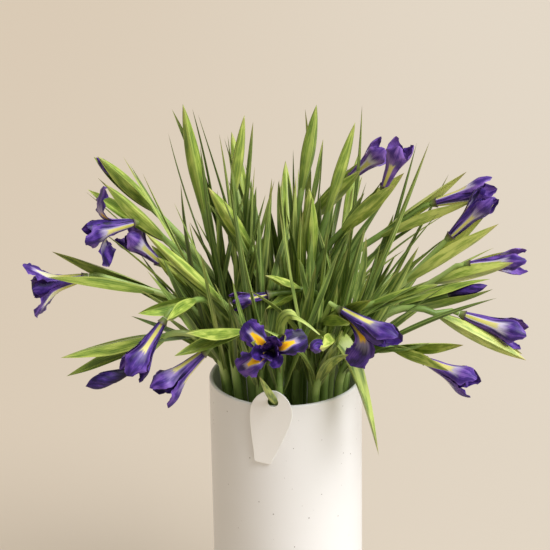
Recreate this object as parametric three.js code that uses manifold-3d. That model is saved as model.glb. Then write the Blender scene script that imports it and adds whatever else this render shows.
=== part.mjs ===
// Cut Dutch irises standing in a tall white ceramic vase, with a blank tag threaded on one stem.
// Millimetres, +Z up. The origin is the middle of the vase's flat base; the tag hangs on the -Y side.
import * as THREE from "three";
import { mergeVertices } from "three/addons/utils/BufferGeometryUtils.js";
import Module from "manifold-3d";

const wasm = await Module();
wasm.setup();

// Vase and water
const vase = { radius: 75, height: 300, wall: 4, floor: 10, edge: 1.8, foot: 2.5, facets: 36 };
const water = { level: 100, gap: 0.6, holeGap: 0.35, facets: 24 };

// Stems: upright in the water, then fanning out to the mouth and on to the flower heads
const stem = { radius: 4.0, mouthRadius: 4.0, neckRadius: 3.1, pedicelRadius: 2.5, neck: 8, sides: 5 };
const bunch = { reach: 60, spread: 50, spacing: 14, footShare: 0.69, rounds: 80, lift: 0.3 };
const upright = 110; // height up to which the stems stand vertical

// Clearance between a flower and the spathe that it comes out of, and round a leaf
const seatGap = 0.35;
const leafRoom = 0.5;
const trim = 0.12; // slivers smaller than this are dropped where blades are joined

const up = new THREE.Vector3(0, 0, 1);
const back = new THREE.Vector3(0, 1, 0);
const vec = (p) => new THREE.Vector3(...p);
const smooth = (a, b, t) => THREE.MathUtils.smoothstep(t, a, b);

// A value read off a short list of [place, value] pairs
function along(pairs, t) {
  let i = 1;
  while (i < pairs.length - 1 && t > pairs[i][0]) i++;
  const [a, va] = pairs[i - 1];
  const [b, vb] = pairs[i];
  return va + ((vb - va) * (t - a)) / (b - a);
}

// Repeatable random numbers from 0 to 1, one series for each key
function series(key) {
  let state = (key * 7919 + 104729) >>> 0;
  const next = () => {
    state = (Math.imul(state, 1664525) + 1013904223) >>> 0;
    return state / 2 ** 32;
  };
  next();
  next();
  return next;
}

// Solid through a row of rings of points, closed by flat ends or by a pointed tip.
// Both faces of a blade get the same diagonals, so a thin waved blade never cuts itself.
function loft(rings, tip) {
  const n = rings[0].length;
  const points = rings.flat();
  const faces = [];
  for (let i = 0; i + 1 < rings.length; i++)
    for (let j = 0; j < n; j++) {
      const a = i * n + j;
      const b = i * n + ((j + 1) % n);
      if (j % 2) faces.push([a, b, a + n], [b, b + n, a + n]);
      else faces.push([a, b, b + n], [a, b + n, a + n]);
    }
  const last = points.length - n;
  for (let j = 2; j < n; j++) {
    const k = (j + 1) % n;
    faces.push([1, k, j]);
    if (!tip) faces.push([last + 1, last + j, last + k]);
  }
  if (tip) {
    points.push(tip);
    for (let j = 0; j < n; j++) faces.push([last + j, last + ((j + 1) % n), points.length - 1]);
  }
  const volume = faces.reduce(
    (sum, [a, b, c]) => sum + points[a].dot(points[b].clone().cross(points[c])), 0);
  if (volume < 0) faces.forEach((face) => face.reverse());
  return new wasm.Manifold(new wasm.Mesh({
    numProp: 3,
    vertProperties: new Float32Array(points.flatMap((p) => p.toArray())),
    triVerts: new Uint32Array(faces.flat()),
  }));
}

// A three.js geometry as a solid
function solidOf(geometry) {
  const bare = geometry.index ? geometry.toNonIndexed() : geometry.clone();
  bare.deleteAttribute("normal");
  bare.deleteAttribute("uv");
  const merged = mergeVertices(bare, 1e-3);
  return new wasm.Manifold(new wasm.Mesh({
    numProp: 3,
    vertProperties: merged.attributes.position.array,
    triVerts: new Uint32Array(merged.index.array),
  }));
}

// A solid back as a three.js geometry
function geometryOf(solid) {
  const mesh = solid.getMesh();
  return new THREE.BufferGeometry()
    .setAttribute("position", new THREE.BufferAttribute(mesh.vertProperties, 3))
    .setIndex(new THREE.BufferAttribute(mesh.triVerts, 1));
}

const fuse = (solids) => solids.reduce((all, one) => all.add(one));

// The largest body of a solid: what a cut leaves loose is dropped
function mainBody(solid) {
  return solid.decompose().reduce((best, body) => (body.volume() > best.volume() ? body : best));
}

// Directions of a piece that points along `aim`: w along it, u and v across it
function frameAt(origin, aim, roll = 0) {
  const w = aim.clone().normalize();
  const ref = Math.abs(w.z) < 0.95 ? up : back;
  const a = ref.clone().cross(w).normalize();
  const b = w.clone().cross(a);
  const r = THREE.MathUtils.degToRad(roll);
  const u = a.clone().multiplyScalar(Math.cos(r)).addScaledVector(b, Math.sin(r));
  return { o: origin.clone(), w, u, v: w.clone().cross(u) };
}

const place = (f, x, y, z) =>
  f.o.clone().addScaledVector(f.u, x).addScaledVector(f.v, y).addScaledVector(f.w, z);

// Ring round a tube
function tubeRing(centre, side, tangent, radius, sides) {
  const other = tangent.clone().cross(side);
  return Array.from({ length: sides }, (_, i) => {
    const a = (2 * Math.PI * i) / sides;
    return centre.clone()
      .addScaledVector(side, radius * Math.cos(a))
      .addScaledVector(other, radius * Math.sin(a));
  });
}

// Tube through points with a radius at each
function tube(points, radii, sides) {
  let side = back.clone();
  const rings = points.map((p, i) => {
    const before = points[Math.max(i - 1, 0)];
    const after = points[Math.min(i + 1, points.length - 1)];
    const tangent = after.clone().sub(before).normalize();
    side = side.clone().addScaledVector(tangent, -side.dot(tangent)).normalize();
    return tubeRing(p, side, tangent, radii[i], sides);
  });
  return loft(rings);
}

// Section of a blade: two thin edges, raised by `cup`, and a thicker middle; or its outline
// at a distance `grow` all round
function bladeRing(p, side, normal, half, thick, cup, grow = 0) {
  const at = (across, out) => p.clone().addScaledVector(side, across).addScaledVector(normal, out);
  if (!grow) return [at(-half, cup), at(0, thick / 2), at(half, cup), at(0, -thick / 2)];
  const wide = half + grow;
  const deep = thick / 2 + grow;
  return [
    at(-wide, cup + grow), at(0, deep), at(wide, cup + grow),
    at(wide, cup - grow), at(0, -deep), at(-wide, cup - grow),
  ];
}

// The irises. base: where the spathe starts; tip: its point; turn: the spathe's turn about itself.
// A flower starts at `at`, looks along `look` and is turned by `roll`. open: 0 furled, 1 wide open, one
// number for each fall, or one for all; girth: how broad the petals are; turns: where the falls stand;
// twist: how far the last fall turns about itself. A bud stands in its spathe, or at `at` too.
const evenTurns = [0, 120, 240];
const flower = (base, tip, turn, at, look, roll, open, size = 1, girth = 1, turns = evenTurns, twist = 0) =>
  ({ kind: "flower", base, tip, turn, at, look, roll, open: [open].flat(), size, girth, turns, twist });
const bud = (base, tip, turn, over = 0, girth = 1, at = null, look = null) =>
  ({ kind: "bud", base, tip, turn, over, girth, at, look, roll: 0 });
const green = (base, tip, turn = 0) => ({ kind: "green", base, tip, turn });
const irises = [
  flower([-121, -15, 395], [-223, -25, 430], 150, [-187, -20, 415], [-0.97, -0.15, -0.16], 80, 0.3, 1, 0.9),
  flower([-112, 0, 442], [-176, -15, 504], 35, [-138, -12, 467], [-0.88, -0.48, 0], 0, [0.2, 0.85, 0.95],
    1, 0.9, [-10, 115, 258], 50),
  flower([-82, 14, 378], [-125, 5, 430], 0, [-120, 8, 417], [-0.65, -0.2, 0.6], 20, 0.25, 0.85),
  flower([-84, -55, 403], [-122, -115, 412], 0, [-111, -95, 402], [-0.55, -0.33, -0.76], 40, 0.15, 1, 0.9),
  bud([-113, -35, 359], [-212, -55, 336], 60, -3, 1.6, [-151, -45, 326], [-0.92, -0.15, -0.27]),
  flower([-39, -80, 381], [-97, -125, 388], 60, [-73, -95, 369], [-0.74, -0.3, -0.56], 75, [0.1, 0.24, 0.2]),
  flower([16, -41, 406], [-18, -58, 411], 105, [-11, -50, 406], [-0.95, -0.25, -0.1], 25, 0, 0.65, 0.6),
  flower([-7, -66, 350], [-16, -146, 402], 15, [-11, -104, 372], [-0.1, -0.92, 0.36], 8, 0.9, 0.9,
    1, [18, 126, 207]),
  bud([42.5, -80, 374], [26, -147, 392], 0, 3, 1.3),
  flower([36, -45, 374], [70, -105, 410], 30, [49, -75, 401], [0.78, -0.46, -0.38], -10, [0.2, 0.1, 0.7],
    1.05, 0.9, [0, 120, 268], 72),
  flower([20, 42, 440], [78, 34, 505], 0, [63, 36, 488], [0.7, -0.15, 0.7], 60, [0.1, 0.05, 0.2], 0.85, 0.9),
  flower([55, -10, 452], [110, -28, 512], 0, [94, -25, 499], [0.35, -0.4, 0.85], 60, [0.05, 0.05, 0.1],
    0.85, 0.95),
  flower([91, 0, 443], [179, -15, 499], 45, [141, -4, 477], [0.94, -0.12, 0.27], -20, 0.05, 1, 0.75),
  flower([114, -35, 409], [199, -50, 483], 20, [154, -39, 454], [0.68, 0, 0.73], 60, 0.02, 0.95, 0.66),
  flower([144, 10, 390], [222, 0, 420], 0, [175, 5, 410], [0.98, -0.12, 0.1], 40, 0.05, 0.95, 0.66),
  bud([107, -20, 376], [198, -30, 404], 70, -4),
  green([83, -57, 397], [144, -77, 424]),
  flower([144, -38, 378], [229, -48, 335], 165, [167, -37, 377], [0.92, -0.2, -0.3], 30, [0.1, 0.02, 0.1],
    1.05, 0.92),
  flower([101, -62, 353], [159, -105, 361], 30, [127, -77, 349], [0.83, -0.45, -0.28], 0, 0.05, 0.95, 0.95),
  bud([-123, 25, 463], [-178, 20, 522], 30, -1),
  green([-76, 30, 457], [-94, 40, 567]),
  green([-49, 15, 473], [-35, 15, 563], 50),
  green([18, 30, 479], [34, 40, 564], 20),
  green([-30, -10, 435], [-70, -30, 507], 80),
  green([27, -17, 423], [25, -17, 500], 10),
  green([42, 10, 462], [70, 15, 554], 40),
  green([-59, -45, 396], [-129, -60, 474]),
  flower([-42, 88, 342], [-78, 158, 338], 0, [-60, 123, 336], [-0.4, 0.72, -0.6], 75, 0.5),
  green([5, 100, 390], [4, 160, 466], 20),
  flower([52, 86, 342], [92, 152, 338], 0, [72, 119, 336], [0.45, 0.7, -0.55], 30, 0.3),
  green([-35, 95, 420], [-50, 140, 505]),
  green([60, 85, 410], [80, 130, 488], 60),
];

// Tag: a flat teardrop that hangs on a leaf through its hole, in front of the vase
const tag = { thick: 1.4, gap: 0.5, holeX: -12.5, holeZ: 305, holeRadius: 5.2, azimuth: 12, slant: -9.6 };
const tagShape = { top: 12, side: 20.6, sideAt: -12, end: 9.3, endAt: -60, bottom: -66.3, flat: 5.5 };

// Leaves seen one by one: where the point is and how wide the leaf is, [x, y, z, width]
const leafTips = [
  [-109, 40, 538, 3], [-80, 50, 553, 3], [-78, 20, 532, 5], [-96, -20, 508, 7], [-102, -40, 496, 3],
  [-59, 0, 550, 4], [-55, 30, 535, 3], [-52, 45, 534, 3], [-42, 20, 574, 6], [-26, 0, 517, 3],
  [-49, -30, 508, 5], [-3, -55, 523, 7], [-12, 30, 483, 3], [11, 45, 518, 3], [39, 10, 536, 4],
  [31, 50, 504, 3], [62, 60, 540, 4], [-4, -70, 501, 4], [-77, -80, 461, 3], [-40, -70, 469, 6],
  [77, 30, 566, 4], [119, 40, 529, 3], [129, 20, 531, 3], [139, -10, 542, 4], [159, 0, 506, 8],
  [139, -30, 497, 5], [80, -10, 503, 3], [146, -40, 482, 4], [160, 20, 459, 5], [205, 10, 426, 4],
  [127, -50, 452, 8], [200, -60, 402, 4], [158, -40, 410, 3], [-151, 10, 525, 6], [-147, 30, 511, 6],
  [-132, -10, 515, 4], [-190, 20, 487, 4], [-178, -20, 465, 3], [-216, -40, 339, 3],
];
// Leaves on every stem besides: how high and how far out their points are
const fill = { each: 2, out: [30, 150], top: 505, slope: 0.5, drop: 90, fan: 1.7, width: [5, 9] };
// A leaf that would touch something moves this way, step by step, until it is clear
const drift = { way: [0, 1, -0.404], step: 9, steps: 7, stems: 5, crowd: 0.15 };
const blade = { thick: 1.3, turn: 70, bow: 0.42, lean: 0.3, off: 1.4, broad: 8, at: [0, 0.3, 0.72] };
// Two leaves that bend over the rim: the one that carries the tag, and one on the right
const rimLeaves = [
  { iris: 7, start: [-8.2, -57.6, 291.5], bend: [-12.6, -84, 304.5], tip: [-24.8, -103, 345],
    width: 5.5, turn: 0 },
  { iris: 9, start: [26, -33.5, 334], bend: [50.5, -67, 413.5], tip: [94, -100, 259], width: 18, turn: -50 },
];

// Where in the mouth a stem stands that leads to a point above it: the lower and the further
// out the point is, the nearer to the rim
function mouthUnder(p) {
  const out = Math.hypot(p.x, p.y);
  const lean = THREE.MathUtils.radToDeg(Math.atan2(out, p.z - vase.height));
  const r = bunch.reach * Math.min(lean / bunch.spread, 1);
  return new THREE.Vector3((p.x / out) * r, (p.y / out) * r, vase.height);
}

// The stems push each other apart in the mouth until each has its room
function settle(places) {
  for (let round = 0; round < bunch.rounds; round++) {
    for (let i = 0; i < places.length; i++)
      for (let j = i + 1; j < places.length; j++) {
        const gap = places[i].clone().sub(places[j]);
        const short = bunch.spacing - gap.length();
        if (short <= 0) continue;
        gap.setLength(short / 2);
        places[i].add(gap);
        places[j].sub(gap);
      }
    for (const p of places) {
      const r = Math.hypot(p.x, p.y);
      if (r > bunch.reach) p.set((p.x / r) * bunch.reach, (p.y / r) * bunch.reach, p.z);
    }
  }
  return places;
}

const mouths = settle(irises.map((iris) => mouthUnder(vec(iris.base))));

// Point of a stem inside the vase
function stemInside(mouth, z) {
  const rise = Math.max(0, (z - upright) / (vase.height - upright));
  const share = THREE.MathUtils.lerp(bunch.footShare, 1, rise);
  return new THREE.Vector3(mouth.x * share, mouth.y * share, z);
}

// The free part of a stem: a curve from the mouth to the base of the spathe
function stemCurve(mouth, iris) {
  const base = vec(iris.base);
  const aim = vec(iris.tip).sub(base).normalize();
  const leave = mouth.clone().sub(stemInside(mouth, vase.height - 20)).normalize();
  const reach = mouth.distanceTo(base);
  return new THREE.CubicBezierCurve3(
    mouth.clone(),
    mouth.clone().addScaledVector(leave, 0.4 * reach),
    base.clone().addScaledVector(aim, -0.4 * reach),
    base);
}

const curves = irises.map((iris, i) => stemCurve(mouths[i], iris));
const budAt = 0.55; // share of the spathe's length at which the petals of a bud start

// The frames of a head: of its spathe, and of the flower that stands in it
function headFrames(iris) {
  const base = vec(iris.base);
  const spine = vec(iris.tip).sub(base);
  const spathe = frameAt(base, spine, iris.turn);
  const petals = iris.at
    ? frameAt(vec(iris.at), vec(iris.look), iris.roll)
    : frameAt(base.clone().addScaledVector(spine, budAt), spine, iris.turn);
  return { spathe, petals, length: spine.length() };
}

// Stem with its pedicel
function stemSolid(i) {
  const iris = irises[i];
  const { spathe, petals, length } = headFrames(iris);
  const inside = [vase.floor + bunch.lift, upright];
  const points = inside.map((z) => stemInside(mouths[i], z));
  const radii = inside.map(() => stem.radius);
  for (const t of [0, 0.5, 1]) {
    points.push(curves[i].getPoint(t));
    radii.push(THREE.MathUtils.lerp(stem.mouthRadius, stem.neckRadius, t));
  }
  const seats = {
    green: [place(spathe, 0, 0, 0.4 * length)],
    bud: [place(petals, 0, 0, -seatGap)],
    flower: [-stem.neck, -seatGap].map((z) => place(petals, 0, 0, z)),
  };
  points.push(...seats[iris.kind]);
  radii.push(...seats[iris.kind].map(() => stem.pedicelRadius));
  return tube(points, radii, stem.sides);
}

// Spathe valve: a boat-shaped blade whose keel is at distance `keel` from the middle
const valve = {
  at: [0, 0.22, 0.5, 0.8],
  keel: [[0, 1.7], [0.22, 7], [0.5, 9.5], [0.8, 8.2], [1, 5]],
  half: [[0, 1.3], [0.22, 6.6], [0.5, 8.6], [0.8, 5.4], [1, 0]],
  cup: [[0, 0.3], [0.22, 5.8], [0.5, 8], [0.8, 3.8], [1, 0]],
  thick: 1.3,
  spread: 11, // how far the valves of an open spathe stand apart at their points
};

function valveSolid(frame, length, side, spread) {
  const ring = (t) => {
    const keel = along(valve.keel, t) + spread * t * t;
    return bladeRing(
      place(frame, side * keel, 0, t * length), frame.v, frame.u.clone().multiplyScalar(-side),
      along(valve.half, t), valve.thick, along(valve.cup, t));
  };
  const end = place(frame, side * (along(valve.keel, 1) + spread), 0, length);
  return loft(valve.at.map(ring), end);
}

// Closed green spathe: both valves lie on each other
const closedSpathe = {
  at: [0, 0.2, 0.45, 0.78],
  keel: [[0, 2.6], [0.2, 5.2], [0.45, 7.2], [0.78, 4.6], [1, 0]],
  half: [[0, 2.4], [0.2, 4.4], [0.45, 5.6], [0.78, 3.4], [1, 0]],
};

function closedSolid(frame, length) {
  const ring = (t) => {
    const keel = along(closedSpathe.keel, t);
    const half = along(closedSpathe.half, t);
    return [[1, 0], [0.35, 1], [-0.35, 1], [-1, 0], [-0.35, -1], [0.35, -1]].map(
      ([x, y]) => place(frame, x * keel, y * half, t * length));
  };
  return loft(closedSpathe.at.map(ring), place(frame, 0, 0, length));
}

// Petals. angle: how far the petal leans out of the flower's axis, in degrees, along its length.
// The falls of a flower that is hardly open bend back in at their ends, like a tulip's.
const furl = (open) => 1 - smooth(0.12, 0.4, open);
const petals = {
  fall: {
    azimuth: 0, length: 64, start: 2.9, thick: 1.2, at: [0, 0.36, 0.64, 0.88],
    half: [[0, 1.3], [0.36, 4.6], [0.64, 11.5], [0.76, 13], [0.88, 11], [1, 0]],
    angle: (t, open) => THREE.MathUtils.lerp(
      10 + (24 + 95 * open) * smooth(0.3, 0.85, t),
      8 + 13 * smooth(0.35, 0.62, t) - 24 * smooth(0.72, 1, t), furl(open)),
    cup: (t, open) => 0.3 + THREE.MathUtils.lerp(
      -0.5 * smooth(0.4, 0.7, t), 0.16 * smooth(0.4, 0.6, t), furl(open)),
  },
  standard: {
    azimuth: 60, length: 54, start: 2.9, thick: 1.2, at: [0, 0.4, 0.75],
    half: [[0, 1.1], [0.4, 1.6], [0.75, 7.4], [1, 0]],
    angle: (t, open) => 10 + (26 * open - 12) * smooth(0.15, 0.8, t),
    cup: () => 0.3,
  },
  style: {
    azimuth: 0, length: 38, start: 1.2, thick: 1, at: [0, 0.7],
    half: [[0, 0.7], [0.45, 2.4], [0.82, 3.8], [1, 0]],
    angle: (t, open) => 7 + (20 + 85 * open) * smooth(0.5, 1.45, t) - 40 * smooth(0.8, 1, t),
    cup: () => -0.1,
    shownFrom: 0.1, // in a flower that is less open the style arms are hidden
  },
};
const flowerTube = { radius: 3.2, throat: 5.2, length: 6, sides: 6 };
const petalSteps = 40; // steps in which a petal's bend is added up

// Centre line of a petal: distance from the axis and height, at share t of its length
function petalLine(petal, open, t) {
  let out = petal.start;
  let high = 1.5;
  const steps = Math.max(1, Math.round(t * petalSteps));
  for (let i = 0; i < steps; i++) {
    const a = THREE.MathUtils.degToRad(petal.angle((t * (i + 0.5)) / steps, open));
    out += (Math.sin(a) * t * petal.length) / steps;
    high += (Math.cos(a) * t * petal.length) / steps;
  }
  return { out, high, angle: THREE.MathUtils.degToRad(petal.angle(t, open)) };
}

function petalSolid(frame, petal, turn, open, iris, grow, twist) {
  const { size, girth } = iris;
  const a = THREE.MathUtils.degToRad(turn);
  const e = frame.u.clone().multiplyScalar(Math.cos(a)).addScaledVector(frame.v, Math.sin(a));
  const level = frame.w.clone().cross(e);
  const at = (t) => {
    const line = petalLine(petal, open, t);
    const p = frame.o.clone().addScaledVector(e, size * line.out)
      .addScaledVector(frame.w, size * line.high);
    const normal = e.clone().multiplyScalar(-Math.cos(line.angle))
      .addScaledVector(frame.w, Math.sin(line.angle));
    const way = level.clone().cross(normal).normalize();
    const turned = THREE.MathUtils.degToRad(twist) * smooth(0.15, 0.6, t);
    return { p, normal: normal.applyAxisAngle(way, turned), side: level.clone().applyAxisAngle(way, turned) };
  };
  const rings = petal.at.map((t) => {
    const { p, normal, side } = at(t);
    const half = size * girth * along(petal.half, t);
    return bladeRing(p, side, normal, half, petal.thick, half * petal.cup(t, open), grow);
  });
  const end = at(1);
  return loft(rings, end.p.addScaledVector(end.normal.clone().cross(end.side), -grow));
}

// Flower: three falls, three standards and three style arms on a short tube
function flowerSolid(i, grow = 0) {
  const iris = irises[i];
  const { open, turns, twist } = iris;
  const frame = headFrames(iris).petals;
  const random = series(i);
  const ends = [-grow, flowerTube.length + grow].map((z) => place(frame, 0, 0, z));
  const parts = [tube(ends, [flowerTube.radius + grow, flowerTube.throat + grow], flowerTube.sides)];
  const whorls = [petals.fall, petals.standard];
  if (open[0] > petals.style.shownFrom) whorls.push(petals.style);
  for (const petal of whorls)
    for (let k = 0; k < 3; k++) {
      const isFall = petal === petals.fall;
      const turn = (isFall ? turns[k] : petal.azimuth + 120 * k) + 6 * (random() - 0.5);
      const opened = (isFall && open[k] !== undefined ? open[k] : open[0]) * (0.85 + 0.3 * random());
      parts.push(petalSolid(frame, petal, turn, opened, iris, grow, isFall && k === 2 ? twist : 0));
    }
  return mainBody(fuse(parts).simplify(trim));
}

// Bud: the petals are still wound into a pointed spindle
const furled = {
  at: [0, 0.25, 0.6, 0.85], sides: 6,
  radius: [[0, 2.2], [0.25, 3.6], [0.6, 4.6], [0.85, 3], [1, 0]],
};

function budSolid(i, grow = 0) {
  const frames = headFrames(irises[i]);
  const frame = frames.petals;
  const reach = (1 - budAt) * frames.length + irises[i].over;
  const rings = furled.at.map((t) => tubeRing(
    place(frame, 0, 0, t * reach - (t ? 0 : grow)), frame.u, frame.w,
    irises[i].girth * along(furled.radius, t) + grow, furled.sides));
  return loft(rings, place(frame, 0, 0, reach + grow));
}

const petalsOf = { flower: flowerSolid, bud: budSolid, green: () => null };
const blooms = irises.map((iris, i) => petalsOf[iris.kind](i));

// Stem and spathe of one iris
function headedStem(i) {
  const iris = irises[i];
  const { spathe, length } = headFrames(iris);
  const spread = iris.at ? valve.spread : 0;
  const head = iris.kind === "green"
    ? [closedSolid(spathe, length)]
    : [1, -1].map((side) => valveSolid(spathe, length, side, spread));
  return fuse([stemSolid(i), ...head]);
}

// Leaf from a stem to its tip: it leaves along the stem and turns slowly about itself
function leafSolid(i, from, tip, width, turn, grow = 0, first = 0) {
  const root = curves[i].getPoint(from);
  const tangent = curves[i].getTangent(from);
  const lean = tip.clone().sub(root);
  lean.addScaledVector(tangent, -lean.dot(tangent)).normalize();
  const start = root.clone().addScaledVector(lean, blade.off);
  const leave = tangent.clone().addScaledVector(lean, blade.lean).normalize();
  const bend = start.clone().addScaledVector(leave, blade.bow * start.distanceTo(tip));
  return bladeAlong(start, bend, tip, tangent.clone().cross(lean), width, turn, grow, first);
}

// Blade along a curve, or only the part of it from its ring number `first`
function bladeAlong(start, bend, tip, across, width, turn, grow = 0, first = 0) {
  const line = new THREE.QuadraticBezierCurve3(start, bend, tip);
  const half = [[0, 1.4], [0.3, width / 2], [0.72, 0.4 * width]];
  const rings = blade.at.slice(first).map((t) => {
    const tangent = line.getTangent(t);
    const side = across.clone().addScaledVector(tangent, -across.dot(tangent)).normalize()
      .applyAxisAngle(tangent, THREE.MathUtils.degToRad(turn * t));
    const normal = side.clone().cross(tangent);
    const h = along(half, t);
    const ring = bladeRing(line.getPoint(t), side, normal, h, blade.thick, 0.3 * h, grow);
    return width < blade.broad && !grow ? [ring[0], ring[2], ring[3]] : ring;
  });
  return loft(rings, tip.clone().addScaledVector(line.getTangent(1), grow));
}

const vaseBody = vaseSolid();
const headed = irises.map((iris, i) => headedStem(i));
const leaves = irises.map(() => []);

function meet(one, other) {
  const a = one.boundingBox();
  const b = other.boundingBox();
  const apart = [0, 1, 2].some((k) => b.min[k] > a.max[k] || b.max[k] < a.min[k]);
  return !apart && one.intersect(other).volume() > 0;
}

// Whether a leaf of iris i touches no flower, vase or other iris, and its free part not its own
function isClear(i, whole, free) {
  if (meet(whole, vaseBody) || blooms.some((bloom) => bloom && meet(whole, bloom))) return false;
  return !irises.some((_, j) => [headed[j], ...leaves[j]].some((part) => meet(j === i ? free : whole, part)));
}

// The leaf goes on the first of the stems offered, at the first place on its drift, where it is clear;
// one that finds no such place is left out
function putLeaf(stems, from, tip, width, turn) {
  for (let k = 0; k < drift.steps; k++)
    for (const i of stems) {
      const shift = drift.step * Math.ceil(k / 2) * (k % 2 ? 1 : -1);
      const end = tip.clone().addScaledVector(vec(drift.way), shift);
      const roomy = [0, 1].map((first) => leafSolid(i, from, end, width, turn, leafRoom, first));
      if (!isClear(i, ...roomy)) continue;
      leaves[i].push(leafSolid(i, from, end, width, turn));
      return;
    }
}

// Stems in the order in which a leaf to this tip would least have to bend, the bare ones first
function stemsTowards(from, tip) {
  const bendOf = irises.map((_, i) => {
    const way = tip.clone().sub(curves[i].getPoint(from));
    return curves[i].getTangent(from).angleTo(way) + way.length() / 400 + drift.crowd * leaves[i].length;
  });
  return irises.map((_, i) => i).sort((a, b) => bendOf[a] - bendOf[b]).slice(0, drift.stems);
}

for (const leaf of rimLeaves) {
  const [start, bend, tip] = [leaf.start, leaf.bend, leaf.tip].map(vec);
  const across = bend.clone().sub(start).cross(up).normalize();
  leaves[leaf.iris].push(bladeAlong(start, bend, tip, across, leaf.width, leaf.turn));
}
leafTips.forEach(([x, y, z, width], n) => {
  const random = series(200 + n);
  const from = 0.05 + 0.25 * random();
  const tip = vec([x, y, z]);
  const turn = blade.turn * (2 * random() - 1);
  putLeaf(stemsTowards(from, tip), from, tip, width, turn);
});
irises.forEach((iris, i) => {
  const random = series(400 + i);
  for (let k = 0; k < fill.each; k++) {
    const from = 0.04 + 0.3 * random();
    const angle = Math.atan2(iris.base[1], iris.base[0]) + fill.fan * (random() - 0.5);
    const out = THREE.MathUtils.lerp(...fill.out, random());
    const high = fill.top - fill.slope * out - fill.drop * random();
    const tip = new THREE.Vector3(out * Math.cos(angle), out * Math.sin(angle), high);
    const width = THREE.MathUtils.lerp(...fill.width, random());
    const turn = blade.turn * (2 * random() - 1);
    putLeaf(stemsTowards(from, tip), from, tip, width, turn);
  }
});

// Stem, spathe and leaves of one iris, cut clear of its flower
const greens = irises.map((iris, i) => {
  const whole = fuse([headed[i], ...leaves[i]]);
  const open = blooms[i] ? whole.subtract(petalsOf[iris.kind](i, seatGap)) : whole;
  return mainBody(open.simplify(trim));
});

// Vase: turned from a closed profile, with a rounded rim
function vaseSolid() {
  const { radius, height, wall, floor, edge, foot } = vase;
  const inner = radius - wall;
  const profile = [
    [0, 0], [radius - foot, 0], [radius, foot], [radius, height - edge],
    [radius - wall * 0.25, height - edge * 0.25], [radius - wall / 2, height],
    [radius - wall * 0.75, height - edge * 0.25], [inner, height - edge],
    [inner, floor + foot], [inner - foot, floor], [0, floor],
  ];
  const lathe = new THREE.LatheGeometry(profile.map(([r, z]) => new THREE.Vector2(r, z)), vase.facets);
  return solidOf(lathe.rotateX(Math.PI / 2));
}

// Water, with a plain hole for each stem
function waterSolid() {
  const top = water.level;
  const foot = vase.floor + bunch.lift;
  const inner = vase.radius - vase.wall - water.gap;
  const profile = [[0, foot], [inner - vase.foot, foot], [inner, foot + vase.foot], [inner, top], [0, top]];
  const lathe = new THREE.LatheGeometry(profile.map(([r, z]) => new THREE.Vector2(r, z)), water.facets);
  const holes = mouths.map((mouth) => tube(
    [foot - 1, top + 1].map((z) => stemInside(mouth, z)),
    [0, 0].map(() => stem.radius + water.holeGap), stem.sides));
  return solidOf(lathe.rotateX(Math.PI / 2)).subtract(fuse(holes));
}

// Tag, turned against the wall of the vase; the leaf of the front iris runs through its hole
function tagSolid() {
  const { top, side, sideAt, end, endAt, bottom, flat } = tagShape;
  const outline = new THREE.Shape().moveTo(0, top);
  outline.bezierCurveTo(0.5 * side, top, side, 0.1 * top, side, sideAt);
  outline.bezierCurveTo(side, 2 * sideAt, 1.25 * end, 0.85 * endAt, end, endAt);
  outline.quadraticCurveTo(0.95 * end, bottom, flat, bottom);
  outline.lineTo(-flat, bottom);
  outline.quadraticCurveTo(-0.95 * end, bottom, -end, endAt);
  outline.bezierCurveTo(-1.25 * end, 0.85 * endAt, -side, 2 * sideAt, -side, sideAt);
  outline.bezierCurveTo(-side, 0.1 * top, -0.5 * side, top, 0, top);
  const hole = new THREE.Path().absellipse(0, 0, tag.holeRadius, tag.holeRadius, 0, 2 * Math.PI, false);
  outline.holes.push(hole);
  const sheet = { depth: tag.thick, bevelEnabled: false, curveSegments: 5 };
  const card = new THREE.ExtrudeGeometry(outline, sheet);
  const azimuth = THREE.MathUtils.degToRad(tag.azimuth);
  const away = vase.radius + tag.gap;
  const alongWall = (tag.holeX + away * Math.sin(azimuth)) / Math.cos(azimuth);
  card.rotateZ(THREE.MathUtils.degToRad(tag.slant)).rotateX(Math.PI / 2);
  return solidOf(card.translate(alongWall, -away, tag.holeZ).rotateZ(-azimuth));
}

function material(color, roughness) {
  return new THREE.MeshStandardMaterial({ color, roughness, metalness: 0 });
}
const look = {
  glaze: material("#f1ece4", 0.45),
  water: material("#dfeaea", 0.1),
  card: material("#f4f1ea", 0.6),
  leaf: material("#6f9a35", 0.6),
  petal: material("#4b2a9c", 0.7),
};

const bouquet = new THREE.Group();
function add(name, solid, finish) {
  const mesh = new THREE.Mesh(geometryOf(solid), finish);
  mesh.name = name;
  bouquet.add(mesh);
}

const number = (i) => String(i + 1).padStart(2, "0");
add("vase", vaseBody, look.glaze);
add("water", waterSolid(), look.water);
add("tag", tagSolid(), look.card);
irises.forEach((iris, i) => {
  add(`iris_${number(i)}_stem`, greens[i], look.leaf);
  if (blooms[i]) add(`iris_${number(i)}_${iris.kind}`, blooms[i], look.petal);
});

export default bouquet;
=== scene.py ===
import math
from functools import partial

import bpy
import numpy as np
from mathutils import Matrix, Vector, kdtree


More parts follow.
